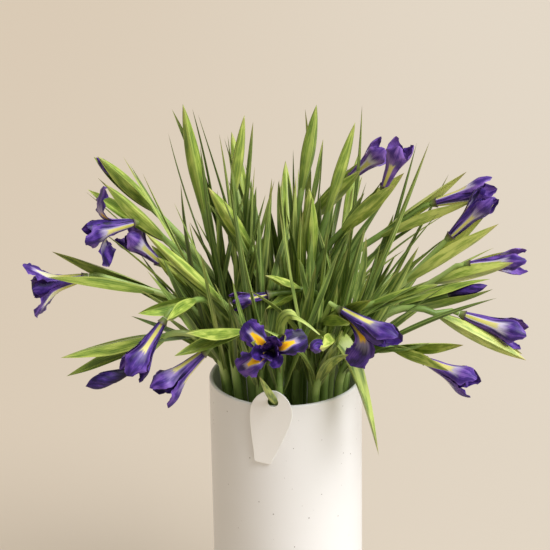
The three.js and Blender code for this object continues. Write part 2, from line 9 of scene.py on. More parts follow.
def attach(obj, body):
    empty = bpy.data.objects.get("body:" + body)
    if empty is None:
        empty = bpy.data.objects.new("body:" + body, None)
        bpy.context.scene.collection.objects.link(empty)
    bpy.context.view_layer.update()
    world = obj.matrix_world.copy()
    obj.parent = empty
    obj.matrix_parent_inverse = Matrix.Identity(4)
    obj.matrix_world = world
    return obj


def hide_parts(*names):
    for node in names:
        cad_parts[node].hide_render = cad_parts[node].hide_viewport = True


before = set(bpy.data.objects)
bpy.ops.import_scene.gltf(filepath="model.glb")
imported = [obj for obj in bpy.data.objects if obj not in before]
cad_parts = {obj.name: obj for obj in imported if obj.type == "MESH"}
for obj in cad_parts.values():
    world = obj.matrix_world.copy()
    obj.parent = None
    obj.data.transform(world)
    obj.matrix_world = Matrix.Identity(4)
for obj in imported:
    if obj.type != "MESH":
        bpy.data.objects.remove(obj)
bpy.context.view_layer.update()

# Cut irises in a tall white cylinder vase, with a blank tag threaded on a leaf.
# Lengths in this file are millimetres and become metres where a mesh is made.
mm = 0.001
up = np.array([0.0, 0.0, 1.0])
back = np.array([0.0, 1.0, 0.0])


# Small helpers for places and numbers

def unit(v):
    return v / np.linalg.norm(v, axis=-1, keepdims=True)


def vec(p):
    return np.array(p, float)


def smooth(a, b, t):
    x = np.clip((np.asarray(t, float) - a) / (b - a), 0, 1)
    return x * x * (3 - 2 * x)


def rounded(pairs, t):
    # a soft curve through [place, value] pairs
    xs, ys = np.array(pairs, float).T
    slope = np.gradient(ys, xs)
    rise = np.diff(ys) / np.diff(xs)
    slope[1:-1] = np.where(rise[:-1] * rise[1:] <= 0, 0, slope[1:-1])
    i = np.clip(np.searchsorted(xs, t, side="right") - 1, 0, len(xs) - 2)
    h = xs[i + 1] - xs[i]
    u = (np.asarray(t, float) - xs[i]) / h
    return ((1 + 2 * u) * (1 - u) ** 2 * ys[i] + u * (1 - u) ** 2 * h * slope[i]
            + u * u * (3 - 2 * u) * ys[i + 1] + u * u * (u - 1) * h * slope[i + 1])


def series(key):
    # repeatable random numbers from 0 to 1, one series for each key
    state = (key * 7919 + 104729) % 2**32

    def draw():
        nonlocal state
        state = (state * 1664525 + 1013904223) % 2**32
        return state / 2**32
    draw()
    draw()
    return draw


def within(span, draw):
    # a random number between the two ends of a span
    return span[0] + (span[1] - span[0]) * draw()


def partly(least, share):
    # rises from least to 1 as the share goes from 0 to 1
    return least + (1 - least) * min(1, share)


# the keys at which each kind of random series starts
seeds = {"flower": 0, "leafTips": 200, "fill": 400, "iris": 500, "stem": 700, "petals": 1000, "inner": 1300}


def frameAt(origin, aim, roll=0.0):
    # directions of a piece that points along aim: w along it, u and v across it
    w = unit(aim)
    ref = up if abs(w[2]) < 0.95 else back
    a = unit(np.cross(ref, w))
    b = np.cross(w, a)
    r = math.radians(roll)
    u = a * math.cos(r) + b * math.sin(r)
    return {"o": origin, "u": u, "v": np.cross(w, u), "w": w}


def place(f, x, y, z):
    x, y, z = (np.asarray(n, float)[..., None] for n in (x, y, z))
    return f["o"] + f["u"] * x + f["v"] * y + f["w"] * z


def spoke(f, turn):
    # direction across the piece's axis, turned from u towards v
    a = math.radians(turn)
    return f["u"] * math.cos(a) + f["v"] * math.sin(a)


# Meshes

def tally(vertices, faces, slot, **marks):
    # one closed shell, ready to go into a piece
    return {"vertices": vertices, "faces": faces, "slot": slot, "marks": marks}


def outward(vertices, faces):
    # faces turned so that they point out of the closed shell
    total = 0.0
    for face in faces:
        a = vertices[face[0]]
        for j in range(1, len(face) - 1):
            total += float(np.dot(a, np.cross(vertices[face[j]], vertices[face[j + 1]])))
    return faces if total > 0 else [face[::-1] for face in faces]


def ringFaces(count, size, closed=False):
    # the faces between each ring of points and the next, and from the last to the first if closed
    pairs = [(i, (i + 1) % count) for i in range(count if closed else count - 1)]
    return [[a * size + j, a * size + (j + 1) % size, b * size + (j + 1) % size, b * size + j]
            for a, b in pairs for j in range(size)]


def pointedShell(rings, tip, slot, **marks):
    # closed shell through rings of points, with a flat start and a pointed end
    count, size = rings.shape[:2]
    vertices = np.vstack([rings.reshape(-1, 3), tip])
    faces = ringFaces(count, size) + [list(range(size))[::-1]]
    last = (count - 1) * size
    faces += [[last + j, last + (j + 1) % size, count * size] for j in range(size)]
    return tally(vertices, outward(vertices, faces), slot, **marks)


def pointedMarks(around, along):
    # marks of a pointed shell: around has a row for each ring or one for all, along a place for each ring
    rows = np.broadcast_to(around, (len(along) - 1, np.shape(around)[-1]))
    return {"across": np.append(rows, 0), "along": np.append(np.repeat(along[:-1], rows.shape[1]), 1)}


def blade(centre, side, normal, half, lift, thick, slot, tone, stretch=1.0):
    # thin blade with sharp edges; lift raises it off its centre line and stretch widens it, point by point
    across = lift.shape[1]
    s = np.linspace(-1, 1, across)
    bulge = 0.5 * thick[:, None] * (1 - s**4)
    spine = centre[:, None] + side[:, None] * (half[:, None] * s * stretch)[..., None]
    top = spine + normal[:, None] * (lift + bulge)[..., None]
    under = (spine + normal[:, None] * (lift - bulge)[..., None])[:, -2:0:-1]
    rings = np.concatenate([top, under], axis=1)[:-1]
    ringAcross = np.concatenate([s, s[-2:0:-1]])
    ringUpper = np.concatenate([np.ones(across), np.zeros(across - 2)])
    ringUpper[[0, across - 1]] = 0.5
    length = np.concatenate([[0], np.cumsum(np.linalg.norm(np.diff(centre, axis=0), axis=1))])
    marks = pointedMarks(ringAcross, length / length[-1])
    marks["upper"] = np.append(np.tile(ringUpper, len(rings)), 0.5)
    return pointedShell(rings, centre[-1] + normal[-1] * lift[-1, across // 2], slot, tone=tone, **marks)


def makePiece(name, shells, finishes, creaseAngle=50):
    # the shells become one mesh object with its finishes and its marks for the materials
    starts = np.cumsum([0] + [len(s["vertices"]) for s in shells])
    vertices = np.vstack([s["vertices"] for s in shells]) * mm
    faces = [[int(n) + int(start) for n in face] for s, start in zip(shells, starts) for face in s["faces"]]
    slots = np.repeat([s["slot"] for s in shells], [len(s["faces"]) for s in shells])
    mesh = bpy.data.meshes.new(name)
    mesh.from_pydata(vertices.tolist(), [], faces)
    mesh.polygons.foreach_set("material_index", slots.astype(np.int32))
    mesh.polygons.foreach_set("use_smooth", np.ones(len(faces), bool))
    for mark in ("across", "along", "upper", "tone", "pale"):
        values = [np.broadcast_to(np.asarray(s["marks"].get(mark, 0.5), float), len(s["vertices"]))
                  for s in shells]
        mesh.attributes.new(mark, "FLOAT", "POINT").data.foreach_set("value", np.concatenate(values))
    for finish in finishes:
        mesh.materials.append(finish)
    mesh.update()
    mesh.set_sharp_from_angle(angle=math.radians(creaseAngle))
    piece = bpy.data.objects.new(name, mesh)
    bpy.context.scene.collection.objects.link(piece)
    return piece


def dress(piece, node):
    # the piece stands in for a node of the solids
    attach(piece, "root")
    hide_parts(node)


# Materials

def linear(code):
    # sRGB hex value as a linear colour
    parts = [int(code[i:i + 2], 16) / 255 for i in (1, 3, 5)]
    return tuple(c / 12.92 if c <= 0.04045 else ((c + 0.055) / 1.055) ** 2.4 for c in parts) + (1.0,)


def addNode(tree, kind, feeds=None, stops=(), out=0, **settings):
    # adds a node; each feed is a number, a colour code, a vector or the socket that drives that input
    node = tree.nodes.new(kind)
    for name, value in settings.items():
        setattr(node, name, value)
    for key, value in (feeds or {}).items():
        isCode = isinstance(value, str) and value[0] == "#"
        if isinstance(value, bpy.types.NodeSocket):
            tree.links.new(value, node.inputs[key])
        else:
            node.inputs[key].default_value = linear(value) if isCode else value
    for i, (at, code) in enumerate(stops):
        element = node.color_ramp.elements[i] if i < 2 else node.color_ramp.elements.new(at)
        element.position, element.color = at, linear(code)
    return node.outputs[out] if node.outputs else None


def newFinish(name):
    # an empty material, and the function that adds nodes to it
    finish = bpy.data.materials.new(name)
    finish.use_nodes = True
    finish.node_tree.nodes.clear()
    return finish, partial(addNode, finish.node_tree)


def shade(add, colour, values, bump):
    # bump is a height, a depth in millimetres and a strength
    height, depth, strength = bump
    normal = add("ShaderNodeBump", {"Height": height, "Distance": depth * mm, "Strength": strength})
    shader = add("ShaderNodeBsdfPrincipled", {"Base Color": colour, "Normal": normal, **values})
    add("ShaderNodeOutputMaterial", {"Surface": shader})


def bladeMarks(add):
    # across runs from -1 to 1 between the edges, along from 0 to 1, upper is 1 on the inner face
    return {name: add("ShaderNodeAttribute", out="Fac", attribute_name=name)
            for name in ("across", "along", "upper", "tone", "pale")}


def mottle(add, size, detail=3.0, stretch=(1, 1, 1)):
    # noise whose spots are about size millimetres wide
    where = add("ShaderNodeTexCoord", out="Object")
    scaled = add("ShaderNodeMapping", {"Vector": where, "Scale": stretch})
    return add("ShaderNodeTexNoise", {"Vector": scaled, "Scale": 1 / (size * mm), "Detail": detail})


def veinLines(add, marks, count):
    # parallel lines that run the length of a blade: 0 between them, 1 on them. Real veins stand about 1 mm
    # apart, and fewer are drawn so that they show
    shifted = add("ShaderNodeMath", {0: marks["tone"], 1: 0.15, 2: marks["across"]}, operation="MULTIPLY_ADD")
    turns = add("ShaderNodeMath", {0: shifted, 1: count * math.pi}, operation="MULTIPLY")
    wave = add("ShaderNodeMath", {0: turns}, operation="SINE")
    return add("ShaderNodeMath", {0: wave, 1: 0.5, 2: 0.5}, operation="MULTIPLY_ADD")


def streaks(add, marks, acrossScale, alongScale, low=0.32, high=0.68):
    # noise drawn out along a blade, different on each one, from 0 to 1
    parts = [add("ShaderNodeMath", {0: marks[name], 1: scale}, operation="MULTIPLY")
             for name, scale in (("across", acrossScale), ("along", alongScale), ("tone", 37.0))]
    where = add("ShaderNodeCombineXYZ", dict(enumerate(parts)))
    noise = add("ShaderNodeTexNoise", {"Vector": where, "Scale": 1.0, "Detail": 4.0})
    return add("ShaderNodeMapRange", {0: noise, 1: low, 2: high}, interpolation_type="SMOOTHSTEP")


def tint(add, body, colour, mark, spread, shares, times=None):
    # lays a colour over the body; its share eases between the two shares as the mark passes the spread
    share = add("ShaderNodeMapRange", {0: mark, 1: spread[0], 2: spread[1], 3: shares[0], 4: shares[1]},
                interpolation_type="SMOOTHSTEP")
    if times is not None:
        share = add("ShaderNodeMath", {0: share, 1: times}, operation="MULTIPLY")
    return add("ShaderNodeMix", {0: share, 6: body, 7: colour}, out=2, data_type="RGBA")


def leafFinish(name, colours, veinCount, roughness):
    # living leaf: a thin wax over green flesh gives a soft broad gloss; veins run its length,
    # the keel is paler, the margins carry a painted highlight, the base turns to the root colour, which on
    # the leaves is painted shade, and the point dries to straw
    finish, add = newFinish(name)
    marks = bladeMarks(add)
    edge = add("ShaderNodeMath", {0: marks["across"]}, operation="ABSOLUTE")
    patch = streaks(add, marks, 2.6, 5.0)
    share = add("ShaderNodeMath", {0: marks["tone"], 1: patch}, operation="ADD")
    share = add("ShaderNodeMath", {0: share, 1: 0.5}, operation="MULTIPLY")
    body = add("ShaderNodeValToRGB", {0: share}, [(0.15, colours["dark"]), (0.85, colours["light"]),
                                                  (0.5, colours["middle"])])
    # the base turns to the root colour: on the leaves this is painted shade, dark where they stand deep in
    # the bunch at the vase's mouth
    body = tint(add, body, colours["root"], marks["along"], (0.0, 0.45), (0.7, 0.0))
    lines = veinLines(add, marks, veinCount)
    veins = add("ShaderNodeMath", {0: lines, 1: 0.2}, operation="MULTIPLY")
    body = add("ShaderNodeMix", {0: veins, 6: body, 7: colours["light"]}, out=2, data_type="RGBA")
    # painted highlight along the margins
    body = tint(add, body, colours["light"], edge, (0.78, 0.98), (0.0, 0.4))
    body = tint(add, body, colours["light"], edge, (0.02, 0.22), (0.3, 0.0))
    age = add("ShaderNodeMapRange", {0: marks["tone"], 1: 0.1, 2: 0.8, 3: 0.2, 4: 0.7},
              interpolation_type="SMOOTHSTEP")
    body = tint(add, body, colours["tip"], marks["along"], (0.84, 1.0), (0.0, 1.0), age)
    shade(add, body, {"Roughness": roughness, "IOR": 1.45}, (lines, 0.12, 0.5))
    return finish


def bandPattern(add, marks, edge, body, band):
    # the yellow band down the middle of a fall, with its white border
    feather = add("ShaderNodeMath", {0: streaks(add, marks, 9.0, 2.5), 1: -0.5}, operation="ADD")
    ahead = add("ShaderNodeMath", {0: marks["along"], 1: band["end"]}, operation="SUBTRACT")
    ahead = add("ShaderNodeMath", {0: ahead, 1: band["border"]}, operation="DIVIDE")
    bandEdge = add("ShaderNodeMapRange", {0: marks["along"], 1: band["taper"], 2: band["end"],
                                          3: band["half"], 4: band["endHalf"]},
                   interpolation_type="SMOOTHSTEP")
    aside = add("ShaderNodeMath", {0: edge, 1: bandEdge}, operation="SUBTRACT")
    aside = add("ShaderNodeMath", {0: aside, 1: band["sideBorder"]}, operation="DIVIDE")
    # how far a point lies beyond the band: below 0 on it, 0 to 1 over its border
    beyond = add("ShaderNodeMath", {0: ahead, 1: aside}, operation="MAXIMUM")
    beyond = add("ShaderNodeMath", {0: feather, 1: band["feather"], 2: beyond}, operation="MULTIPLY_ADD")
    inside = add("ShaderNodeValToRGB", {0: marks["along"]}, band["inside"])
    outside = add("ShaderNodeValToRGB", {0: marks["along"]}, band["outside"])
    inside = tint(add, inside, petalMarks["flame"], beyond, (-2.2, -0.8), (0.6, 0.0))
    yellow = add("ShaderNodeMix", {0: marks["upper"], 6: outside, 7: inside}, out=2, data_type="RGBA")
    body = tint(add, body, band["halo"], beyond, (0.2, 1.6), (1.0, 0.0), marks["pale"])
    return tint(add, body, yellow, beyond, (-0.2, 0.4), (1.0, 0.0))


def petalFinish(name, colours, band=None):
    # iris petal: velvety cells that scatter light at grazing angles, veins that run to the edge,
    # a painted highlight along the edges, a near-black throat that is painted shade on the inner face, an
    # olive foot, and a band on the falls
    finish, add = newFinish(name)
    marks = bladeMarks(add)
    edge = add("ShaderNodeMath", {0: marks["across"]}, operation="ABSOLUTE")
    lines = veinLines(add, marks, 13)
    patch = streaks(add, marks, 1.8, 4.0, 0.3, 0.7)
    share = add("ShaderNodeMath", {0: marks["tone"], 1: patch}, operation="ADD")
    share = add("ShaderNodeMath", {0: share, 1: 0.55}, operation="MULTIPLY")
    share = add("ShaderNodeMath", {0: lines, 1: -0.08, 2: share}, operation="MULTIPLY_ADD")
    body = add("ShaderNodeValToRGB", {0: share}, [(0.08, colours["deep"]), (0.88, colours["lit"]),
                                                  (0.45, colours["middle"])])
    # painted highlight along the edges
    body = tint(add, body, colours["lit"], edge, (0.8, 1.0), (0.0, 0.3))
    # painted shade: the inner face turns near-black towards the throat
    body = tint(add, body, petalMarks["throat"], marks["along"], (0.12, 0.5), (0.92, 0.0), marks["upper"])
    if band:
        body = bandPattern(add, marks, edge, body, band)
    body = tint(add, body, petalMarks["foot"], marks["along"], (0.0, 0.09), (0.9, 0.0))
    shade(add, body, {"Roughness": 0.5, "IOR": 1.4, "Sheen Weight": 0.07, "Sheen Roughness": 0.4,
                      "Sheen Tint": linear("#c9a8f0")}, (lines, 0.1, 0.3))
    return finish


# the leaves' root colour is painted shade: it darkens their lower part, deep in the bunch
leafColours = {"dark": "#324a1d", "middle": "#617f39", "light": "#bccb6c",
               "root": "#2c4214", "tip": "#a9a05a"}
spatheColours = {"dark": "#557524", "middle": "#8ba43c", "light": "#d2dc72",
                 "root": "#52752a", "tip": "#c2b074"}
stemColours = {"dark": "#4f6f26", "middle": "#84a450", "light": "#b6ca78",
               "root": "#88a654", "tip": "#96b05a"}
fallColours = {"deep": "#11072e", "middle": "#3a1f74", "lit": "#7852ae"}
furledColours = {"deep": "#190b3e", "middle": "#452783", "lit": "#8c66be"}
standardColours = {"deep": "#140936", "middle": "#3b2078", "lit": "#7852ae"}
styleColours = {"deep": "#190b40", "middle": "#43257f", "lit": "#8260b4"}
# the throat colour is painted shade, laid on the inner faces towards the heart of the flower
petalMarks = {"throat": "#0d0518", "foot": "#6d6f4a", "flame": "#e8840c"}
openBand = {"end": 0.77, "border": 0.07, "half": 0.48, "taper": 0.52, "endHalf": 0.12, "sideBorder": 0.13,
            "feather": 0.35, "halo": "#ded2ea",
            "inside": [(0.0, "#b9bf62"), (0.6, "#ffcb1c"), (0.36, "#e8dc5c"), (0.48, "#ffc81a")],
            "outside": [(0.0, "#a9b257"), (0.6, "#ece9c4"), (0.35, "#d6d36e")]}
furledBand = {"end": 0.55, "border": 0.13, "half": 0.4, "taper": 0.1, "endHalf": 0.34, "sideBorder": 0.25,
              "feather": 0.35, "halo": "#e2d9ee", "inside": openBand["inside"],
              "outside": [(0.0, "#bfc35c"), (0.6, "#e2da92"), (0.3, "#dad270")]}

leafGreen = leafFinish("leaf_cuticle", leafColours, 7, 0.4)
spatheGreen = leafFinish("spathe_cuticle", spatheColours, 11, 0.38)
stemGreen = leafFinish("stem_cuticle", stemColours, 5, 0.38)
openFall = petalFinish("open_fall_velvet", fallColours, openBand)
furledFall = petalFinish("furled_fall_velvet", furledColours, furledBand)
standardVelvet = petalFinish("standard_velvet", standardColours)
styleVelvet = petalFinish("style_arm_velvet", styleColours)
budVelvet = petalFinish("bud_velvet", standardColours)


def tubeFinish():
    # flower tube: smooth green skin that turns violet where the petals part
    finish, add = newFinish("flower_tube_skin")
    body = add("ShaderNodeValToRGB", {0: bladeMarks(add)["along"]},
               [(0.0, "#6f8a40"), (1.0, "#5b4c56"), (0.6, "#757a48")])
    shade(add, body, {"Roughness": 0.45, "IOR": 1.45}, (mottle(add, 1.5), 0.1, 0.3))
    return finish


def glazeFinish():
    # stoneware glaze, off-white and satin: soft broad highlight, sparse iron specks, faint unevenness
    finish, add = newFinish("satin_stoneware_glaze")
    where = add("ShaderNodeTexCoord", out="Object")
    # one speck in each cell of about 7 mm; its size is drawn by the cell, and many are too small to see
    distance = add("ShaderNodeTexVoronoi", {"Vector": where, "Scale": 1 / (7 * mm)}, out="Distance")
    pick = add("ShaderNodeSeparateColor", {0: distance.node.outputs["Color"]})
    reach = add("ShaderNodeMapRange", {0: pick, 1: 0.25, 2: 1.0, 3: 0.0, 4: 0.1},
                interpolation_type="SMOOTHSTEP")
    away = add("ShaderNodeMath", {0: distance, 1: reach}, operation="SUBTRACT")
    cloud = mottle(add, 60, 2)
    body = add("ShaderNodeMix", {0: cloud, 6: "#f8f8f6", 7: "#f3f2ef"}, out=2, data_type="RGBA")
    body = tint(add, body, "#75695a", away, (-0.015, 0.015), (0.7, 0.0))
    shade(add, body, {"Roughness": 0.36, "IOR": 1.5, "Coat Weight": 0.25, "Coat Roughness": 0.2},
          (cloud, 0.4, 0.2))
    return finish


def cardFinish():
    # uncoated white board, cut with a die: matt, with a faint fibre
    finish, add = newFinish("uncoated_white_board")
    fibre = mottle(add, 1.2, 4, (1, 1, 2.5))
    body = add("ShaderNodeMix", {0: fibre, 6: "#fffefa", 7: "#fbf8f1"}, out=2, data_type="RGBA")
    shade(add, body, {"Roughness": 0.85, "IOR": 1.45}, (fibre, 0.05, 0.4))
    return finish


def waterFinish():
    # still water: clear, with a sharp reflection
    finish, add = newFinish("clear_water")
    body = add("ShaderNodeMix", {0: mottle(add, 40, 2), 6: "#e6efe9", 7: "#dfeae2"}, out=2, data_type="RGBA")
    shade(add, body, {"Roughness": 0.02, "IOR": 1.333, "Transmission Weight": 0.9},
          (mottle(add, 30, 1), 0.3, 0.15))
    return finish


tubeSkin = tubeFinish()
print("materials made")

# Vase, water and tag

vaseSizes = {"radius": 75, "height": 300, "wall": 4, "floor": 10, "foot": 2.5, "round": 6, "facets": 128}
waterSizes = {"level": 100, "gap": 0.6, "off": 0.3, "facets": 64, "edge": [(0, 0), (1.2, 0.9), (4, 1.2)]}


def turned(profile, facets):
    # closed shell turned about the Z axis from a profile that starts and ends on it
    middle = [p for p in profile if p[0] > 0]
    a = np.linspace(0, 2 * math.pi, facets, endpoint=False)
    rings = np.array([[(r * math.cos(t), r * math.sin(t), z) for t in a] for r, z in middle])
    first, last = rings.reshape(-1, 3), len(middle) * facets
    vertices = np.vstack([first, [0, 0, profile[0][1]], [0, 0, profile[-1][1]]])
    faces = ringFaces(len(middle), facets)
    for j in range(facets):
        k = (j + 1) % facets
        faces.append([k, j, last])
        faces.append([(len(middle) - 1) * facets + j, (len(middle) - 1) * facets + k, last + 1])
    return tally(vertices, outward(vertices, faces), 0)


def corner(centre, radius, start, end, steps):
    # arc of a turned profile; angles in degrees from the outward direction
    return [(centre[0] + radius * math.cos(math.radians(a)), centre[1] + radius * math.sin(math.radians(a)))
            for a in np.linspace(start, end, steps + 1)]


def makeVase(s):
    inner = s["radius"] - s["wall"]
    lip = s["wall"] / 2
    profile = [(0, 0)]
    profile += corner((s["radius"] - s["foot"], s["foot"]), s["foot"], -90, 0, s["round"])
    profile += corner((s["radius"] - lip, s["height"] - lip), lip, 0, 180, 2 * s["round"])
    profile += corner((inner - s["foot"], s["floor"] + s["foot"]), s["foot"], 0, -90, s["round"])
    profile += [(0, s["floor"])]
    return makePiece("glazed_vase", [turned(profile, s["facets"])], [glazeFinish()])


def makeWater(v, s):
    # the surface climbs a little where it meets the wall: edge holds steps inwards and down from there
    foot = v["floor"] + s["off"]
    inner = v["radius"] - v["wall"] - s["gap"]
    profile = [(0, foot), (inner - v["foot"], foot), (inner, foot + v["foot"])]
    profile += [(inner - inwards, s["level"] - down) for inwards, down in s["edge"]]
    profile += [(0, profile[-1][1])]
    return makePiece("still_water", [turned(profile, s["facets"])], [waterFinish()])


tagSizes = {"thick": 1.4, "gap": 0.5, "holeX": -12.5, "holeZ": 305, "holeRadius": 5.2, "azimuth": 12,
            "slant": -9.6, "top": 12, "side": 20.6, "sideAt": -12, "middle": -18, "end": 9.3, "endAt": -60,
            "bottom": -66.3, "flat": 5.5, "edge": 0.25, "steps": 14}


def makeTag(v, s):
    # teardrop of board with softly pressed edges; its hole is ringed by the same edge
    def bezier(*points):
        p = np.array(points, float)
        t = np.linspace(0, 1, s["steps"], endpoint=False)[:, None]
        if len(p) == 3:
            return (1 - t) ** 2 * p[0] + 2 * t * (1 - t) * p[1] + t * t * p[2]
        return ((1 - t) ** 3 * p[0] + 3 * t * (1 - t) ** 2 * p[1] + 3 * t * t * (1 - t) * p[2] + t**3 * p[3])
    side, top, end, endAt = s["side"], s["top"], s["end"], s["endAt"]
    half = np.vstack([
        bezier((0, top), (0.5 * side, top), (side, 0.1 * top), (side, s["sideAt"])),
        bezier((side, s["sideAt"]), (side, 2 * s["sideAt"]), (1.25 * end, 0.85 * endAt), (end, endAt)),
        bezier((end, endAt), (0.95 * end, s["bottom"]), (s["flat"], s["bottom"])),
        [(s["flat"], s["bottom"])]])
    outline = np.vstack([half, (half * [-1, 1])[:0:-1]])
    # the hole's points stand where rays to the outline cross its circle, so both rings pair up
    hole = s["holeRadius"] * unit(outline)
    inward = unit(outline - vec([0, s["middle"]]))
    rings = [hole, hole + unit(hole) * s["edge"], outline - inward * s["edge"], outline]
    depths = [s["edge"], 0, 0, s["edge"]]
    front = [(r, d) for r, d in zip(rings, depths)]
    rear = [(r, s["thick"] - d) for r, d in zip(rings[::-1], depths[::-1])]
    layers = [np.column_stack([r, np.full(len(r), d)]) for r, d in front + rear]
    vertices = np.vstack(layers)
    faces = ringFaces(len(layers), len(outline), closed=True)
    slant, azimuth = math.radians(s["slant"]), math.radians(s["azimuth"])
    away = v["radius"] + s["gap"]
    alongWall = (s["holeX"] + away * math.sin(azimuth)) / math.cos(azimuth)
    x = vertices[:, 0] * math.cos(slant) - vertices[:, 1] * math.sin(slant) + alongWall
    z = vertices[:, 0] * math.sin(slant) + vertices[:, 1] * math.cos(slant) + s["holeZ"]
    y = -away - s["thick"] + vertices[:, 2]
    vertices = np.column_stack([x * math.cos(azimuth) + y * math.sin(azimuth),
                                y * math.cos(azimuth) - x * math.sin(azimuth), z])
    return makePiece("blank_tag", [tally(vertices, outward(vertices, faces), 0)], [cardFinish()], 40)


dress(makeVase(vaseSizes), "vase")
dress(makeWater(vaseSizes, waterSizes), "water")
dress(makeTag(vaseSizes, tagSizes), "tag")
print("vase, water and tag made")

# The irises
# base: where the spathe starts; tip: its point; turn: the spathe's turn about itself.
# A flower or bud starts at `at` and looks along `look`, and roll turns it about that line.
# opening: 0 furled, 1 wide open; three numbers open each fall by its own share, and the rest by the first.
# turns: where the falls stand round the flower; twist: how far the third fall turns about its own length.
# girth: how broad the falls or the bud are; over: how far a bud reaches past its spathe.
# pale: how white the border of the falls' band is; light: how light the petals are;
# freshAndLit: from a dull dark spathe, 0, to a bright yellow-green one, 1; the spathes on the right are set
# brighter, which is painted light from the lamp's side.

def flower(base, tip, turn, at, look, roll, opening, size=1.0, girth=1.0, turns=(0, 120, 240),
           twist=0, pale=0.5, light=0.5, freshAndLit=0.5):
    falls = opening if isinstance(opening, tuple) else (opening,) * 3
    return {"kind": "flower", "base": base, "tip": tip, "turn": turn, "at": at, "look": look, "roll": roll,
            "opening": falls[0], "falls": falls, "size": size, "girth": girth, "turns": turns,
            "twists": (0, 0, twist), "pale": pale, "light": light, "freshAndLit": freshAndLit}


def bud(base, tip, turn, over=0, girth=1.0, at=None, look=None, light=0.3, freshAndLit=0.5):
    return {"kind": "bud", "base": base, "tip": tip, "turn": turn, "over": over, "girth": girth, "at": at,
            "look": look, "roll": 0, "light": light, "freshAndLit": freshAndLit}


def green(base, tip, turn=0, freshAndLit=0.4):
    return {"kind": "green", "base": base, "tip": tip, "turn": turn, "at": None, "freshAndLit": freshAndLit}


irises = [
    flower((-121, -15, 395), (-223, -25, 430), 150, (-187, -20, 415), (-0.97, -0.15, -0.16), 80, 0.3,
           girth=0.95, pale=0.6, light=0.5, freshAndLit=0.35),
    flower((-112, 0, 442), (-176, -15, 504), 35, (-138, -12, 467), (-0.88, -0.48, 0), 0,
           (0.2, 0.85, 0.95), girth=0.9, turns=(-10, 115, 258), twist=50, pale=0.6, light=0.3, freshAndLit=0.3),
    flower((-82, 14, 378), (-125, 5, 430), 0, (-118, 7, 415), (-0.6, -0.2, 0.65), 20, (0.1, 0.25, 0.1), 0.85,
           pale=0.9, freshAndLit=0.4),
    flower((-84, -55, 403), (-122, -115, 412), 0, (-111, -95, 402), (-0.55, -0.33, -0.76), 40, 0.15,
           girth=0.9, pale=0.15, light=0.1, freshAndLit=0.25),
    bud((-113, -35, 359), (-212, -55, 336), 60, -3, 1.6, (-151, -45, 326), (-0.92, -0.15, -0.27),
        light=0.2, freshAndLit=0.2),
    flower((-39, -80, 381), (-97, -125, 388), 60, (-73, -95, 369), (-0.74, -0.3, -0.56), 75,
           (0.1, 0.24, 0.2), pale=0.3, light=0.05, freshAndLit=0.35),
    flower((16, -41, 406), (-18, -58, 411), 105, (-11, -50, 406), (-0.95, -0.25, -0.1), 25, 0, 0.65,
           girth=0.6, pale=0.1, light=0.4),
    flower((-7, -66, 350), (-16, -146, 402), 15, (-11, -104, 372), (-0.1, -0.92, 0.36), 8, 0.9, 0.9,
           turns=(18, 126, 207), pale=0.5, light=0.12, freshAndLit=0.35),
    bud((42.5, -80, 374), (26, -147, 392), 0, 3, 1.3, freshAndLit=0.7),
    flower((36, -45, 374), (70, -105, 410), 30, (49, -75, 401), (0.78, -0.46, -0.38), -10,
           (0.2, 0.1, 0.7), 1.05, 0.9, turns=(0, 120, 268), twist=72, pale=0.3, light=0.05, freshAndLit=0.25),
    flower((20, 42, 440), (78, 34, 505), 0, (63, 36, 488), (0.7, -0.15, 0.7), 60, (0.1, 0.05, 0.2), 0.85,
           girth=0.9, pale=1.0, light=1.15, freshAndLit=0.6),
    flower((55, -10, 452), (110, -28, 512), 0, (94, -25, 499), (0.33, -0.15, 0.9), 60, (0.05, 0.05, 0.1),
           0.85, girth=0.95, pale=0.1, light=1.2, freshAndLit=0.7),
    flower((91, 0, 443), (179, -15, 499), 45, (141, -4, 477), (0.94, -0.12, 0.27), -20, 0.05,
           girth=0.75, pale=0.8, light=0.6, freshAndLit=1.0),
    flower((114, -35, 409), (199, -50, 483), 20, (154, -39, 454), (0.68, 0, 0.73), 60, 0.02, 0.95,
           girth=0.66, pale=0.5, light=0.15, freshAndLit=1.1),
    flower((144, 10, 390), (222, 0, 420), 0, (175, 5, 410), (0.98, -0.12, 0.1), 40, 0.05, 0.95,
           girth=0.66, pale=1.0, light=0.9, freshAndLit=1.0),
    bud((107, -20, 376), (198, -30, 404), 70, -4, freshAndLit=0.05),
    green((83, -57, 397), (144, -77, 424), freshAndLit=0.2),
    flower((144, -38, 378), (229, -48, 335), 165, (167, -37, 377), (0.92, -0.2, -0.3), 30, (0.1, 0.02, 0.1),
           1.05, girth=0.85, pale=0.9, light=0.75, freshAndLit=0.8),
    flower((101, -62, 353), (159, -105, 361), 30, (127, -77, 349), (0.83, -0.45, -0.28), 0, 0.05, 0.95,
           girth=0.95, pale=0.6, freshAndLit=0.6),
    bud((-123, 25, 463), (-178, 20, 522), 30, -1, freshAndLit=0.2),
    green((-76, 30, 457), (-94, 40, 567), freshAndLit=0.3),
    green((-49, 15, 473), (-35, 15, 563), 50),
    green((18, 30, 479), (34, 40, 564), 20, freshAndLit=0.15),
    green((-30, -10, 435), (-70, -30, 507), 80, freshAndLit=0.5),
    green((27, -17, 423), (25, -17, 500), 10),
    green((42, 10, 462), (70, 15, 554), 40),
    green((-59, -45, 396), (-129, -60, 474), freshAndLit=0.6),
    flower((-42, 88, 342), (-78, 158, 338), 0, (-60, 123, 336), (-0.4, 0.72, -0.6), 75, 0.5),
    green((5, 100, 390), (4, 160, 466), 20),
    flower((52, 86, 342), (92, 152, 338), 0, (72, 119, 336), (0.45, 0.7, -0.55), 30, 0.3),
    green((-35, 95, 420), (-50, 140, 505)),
    green((60, 85, 410), (80, 130, 488), 60),
]

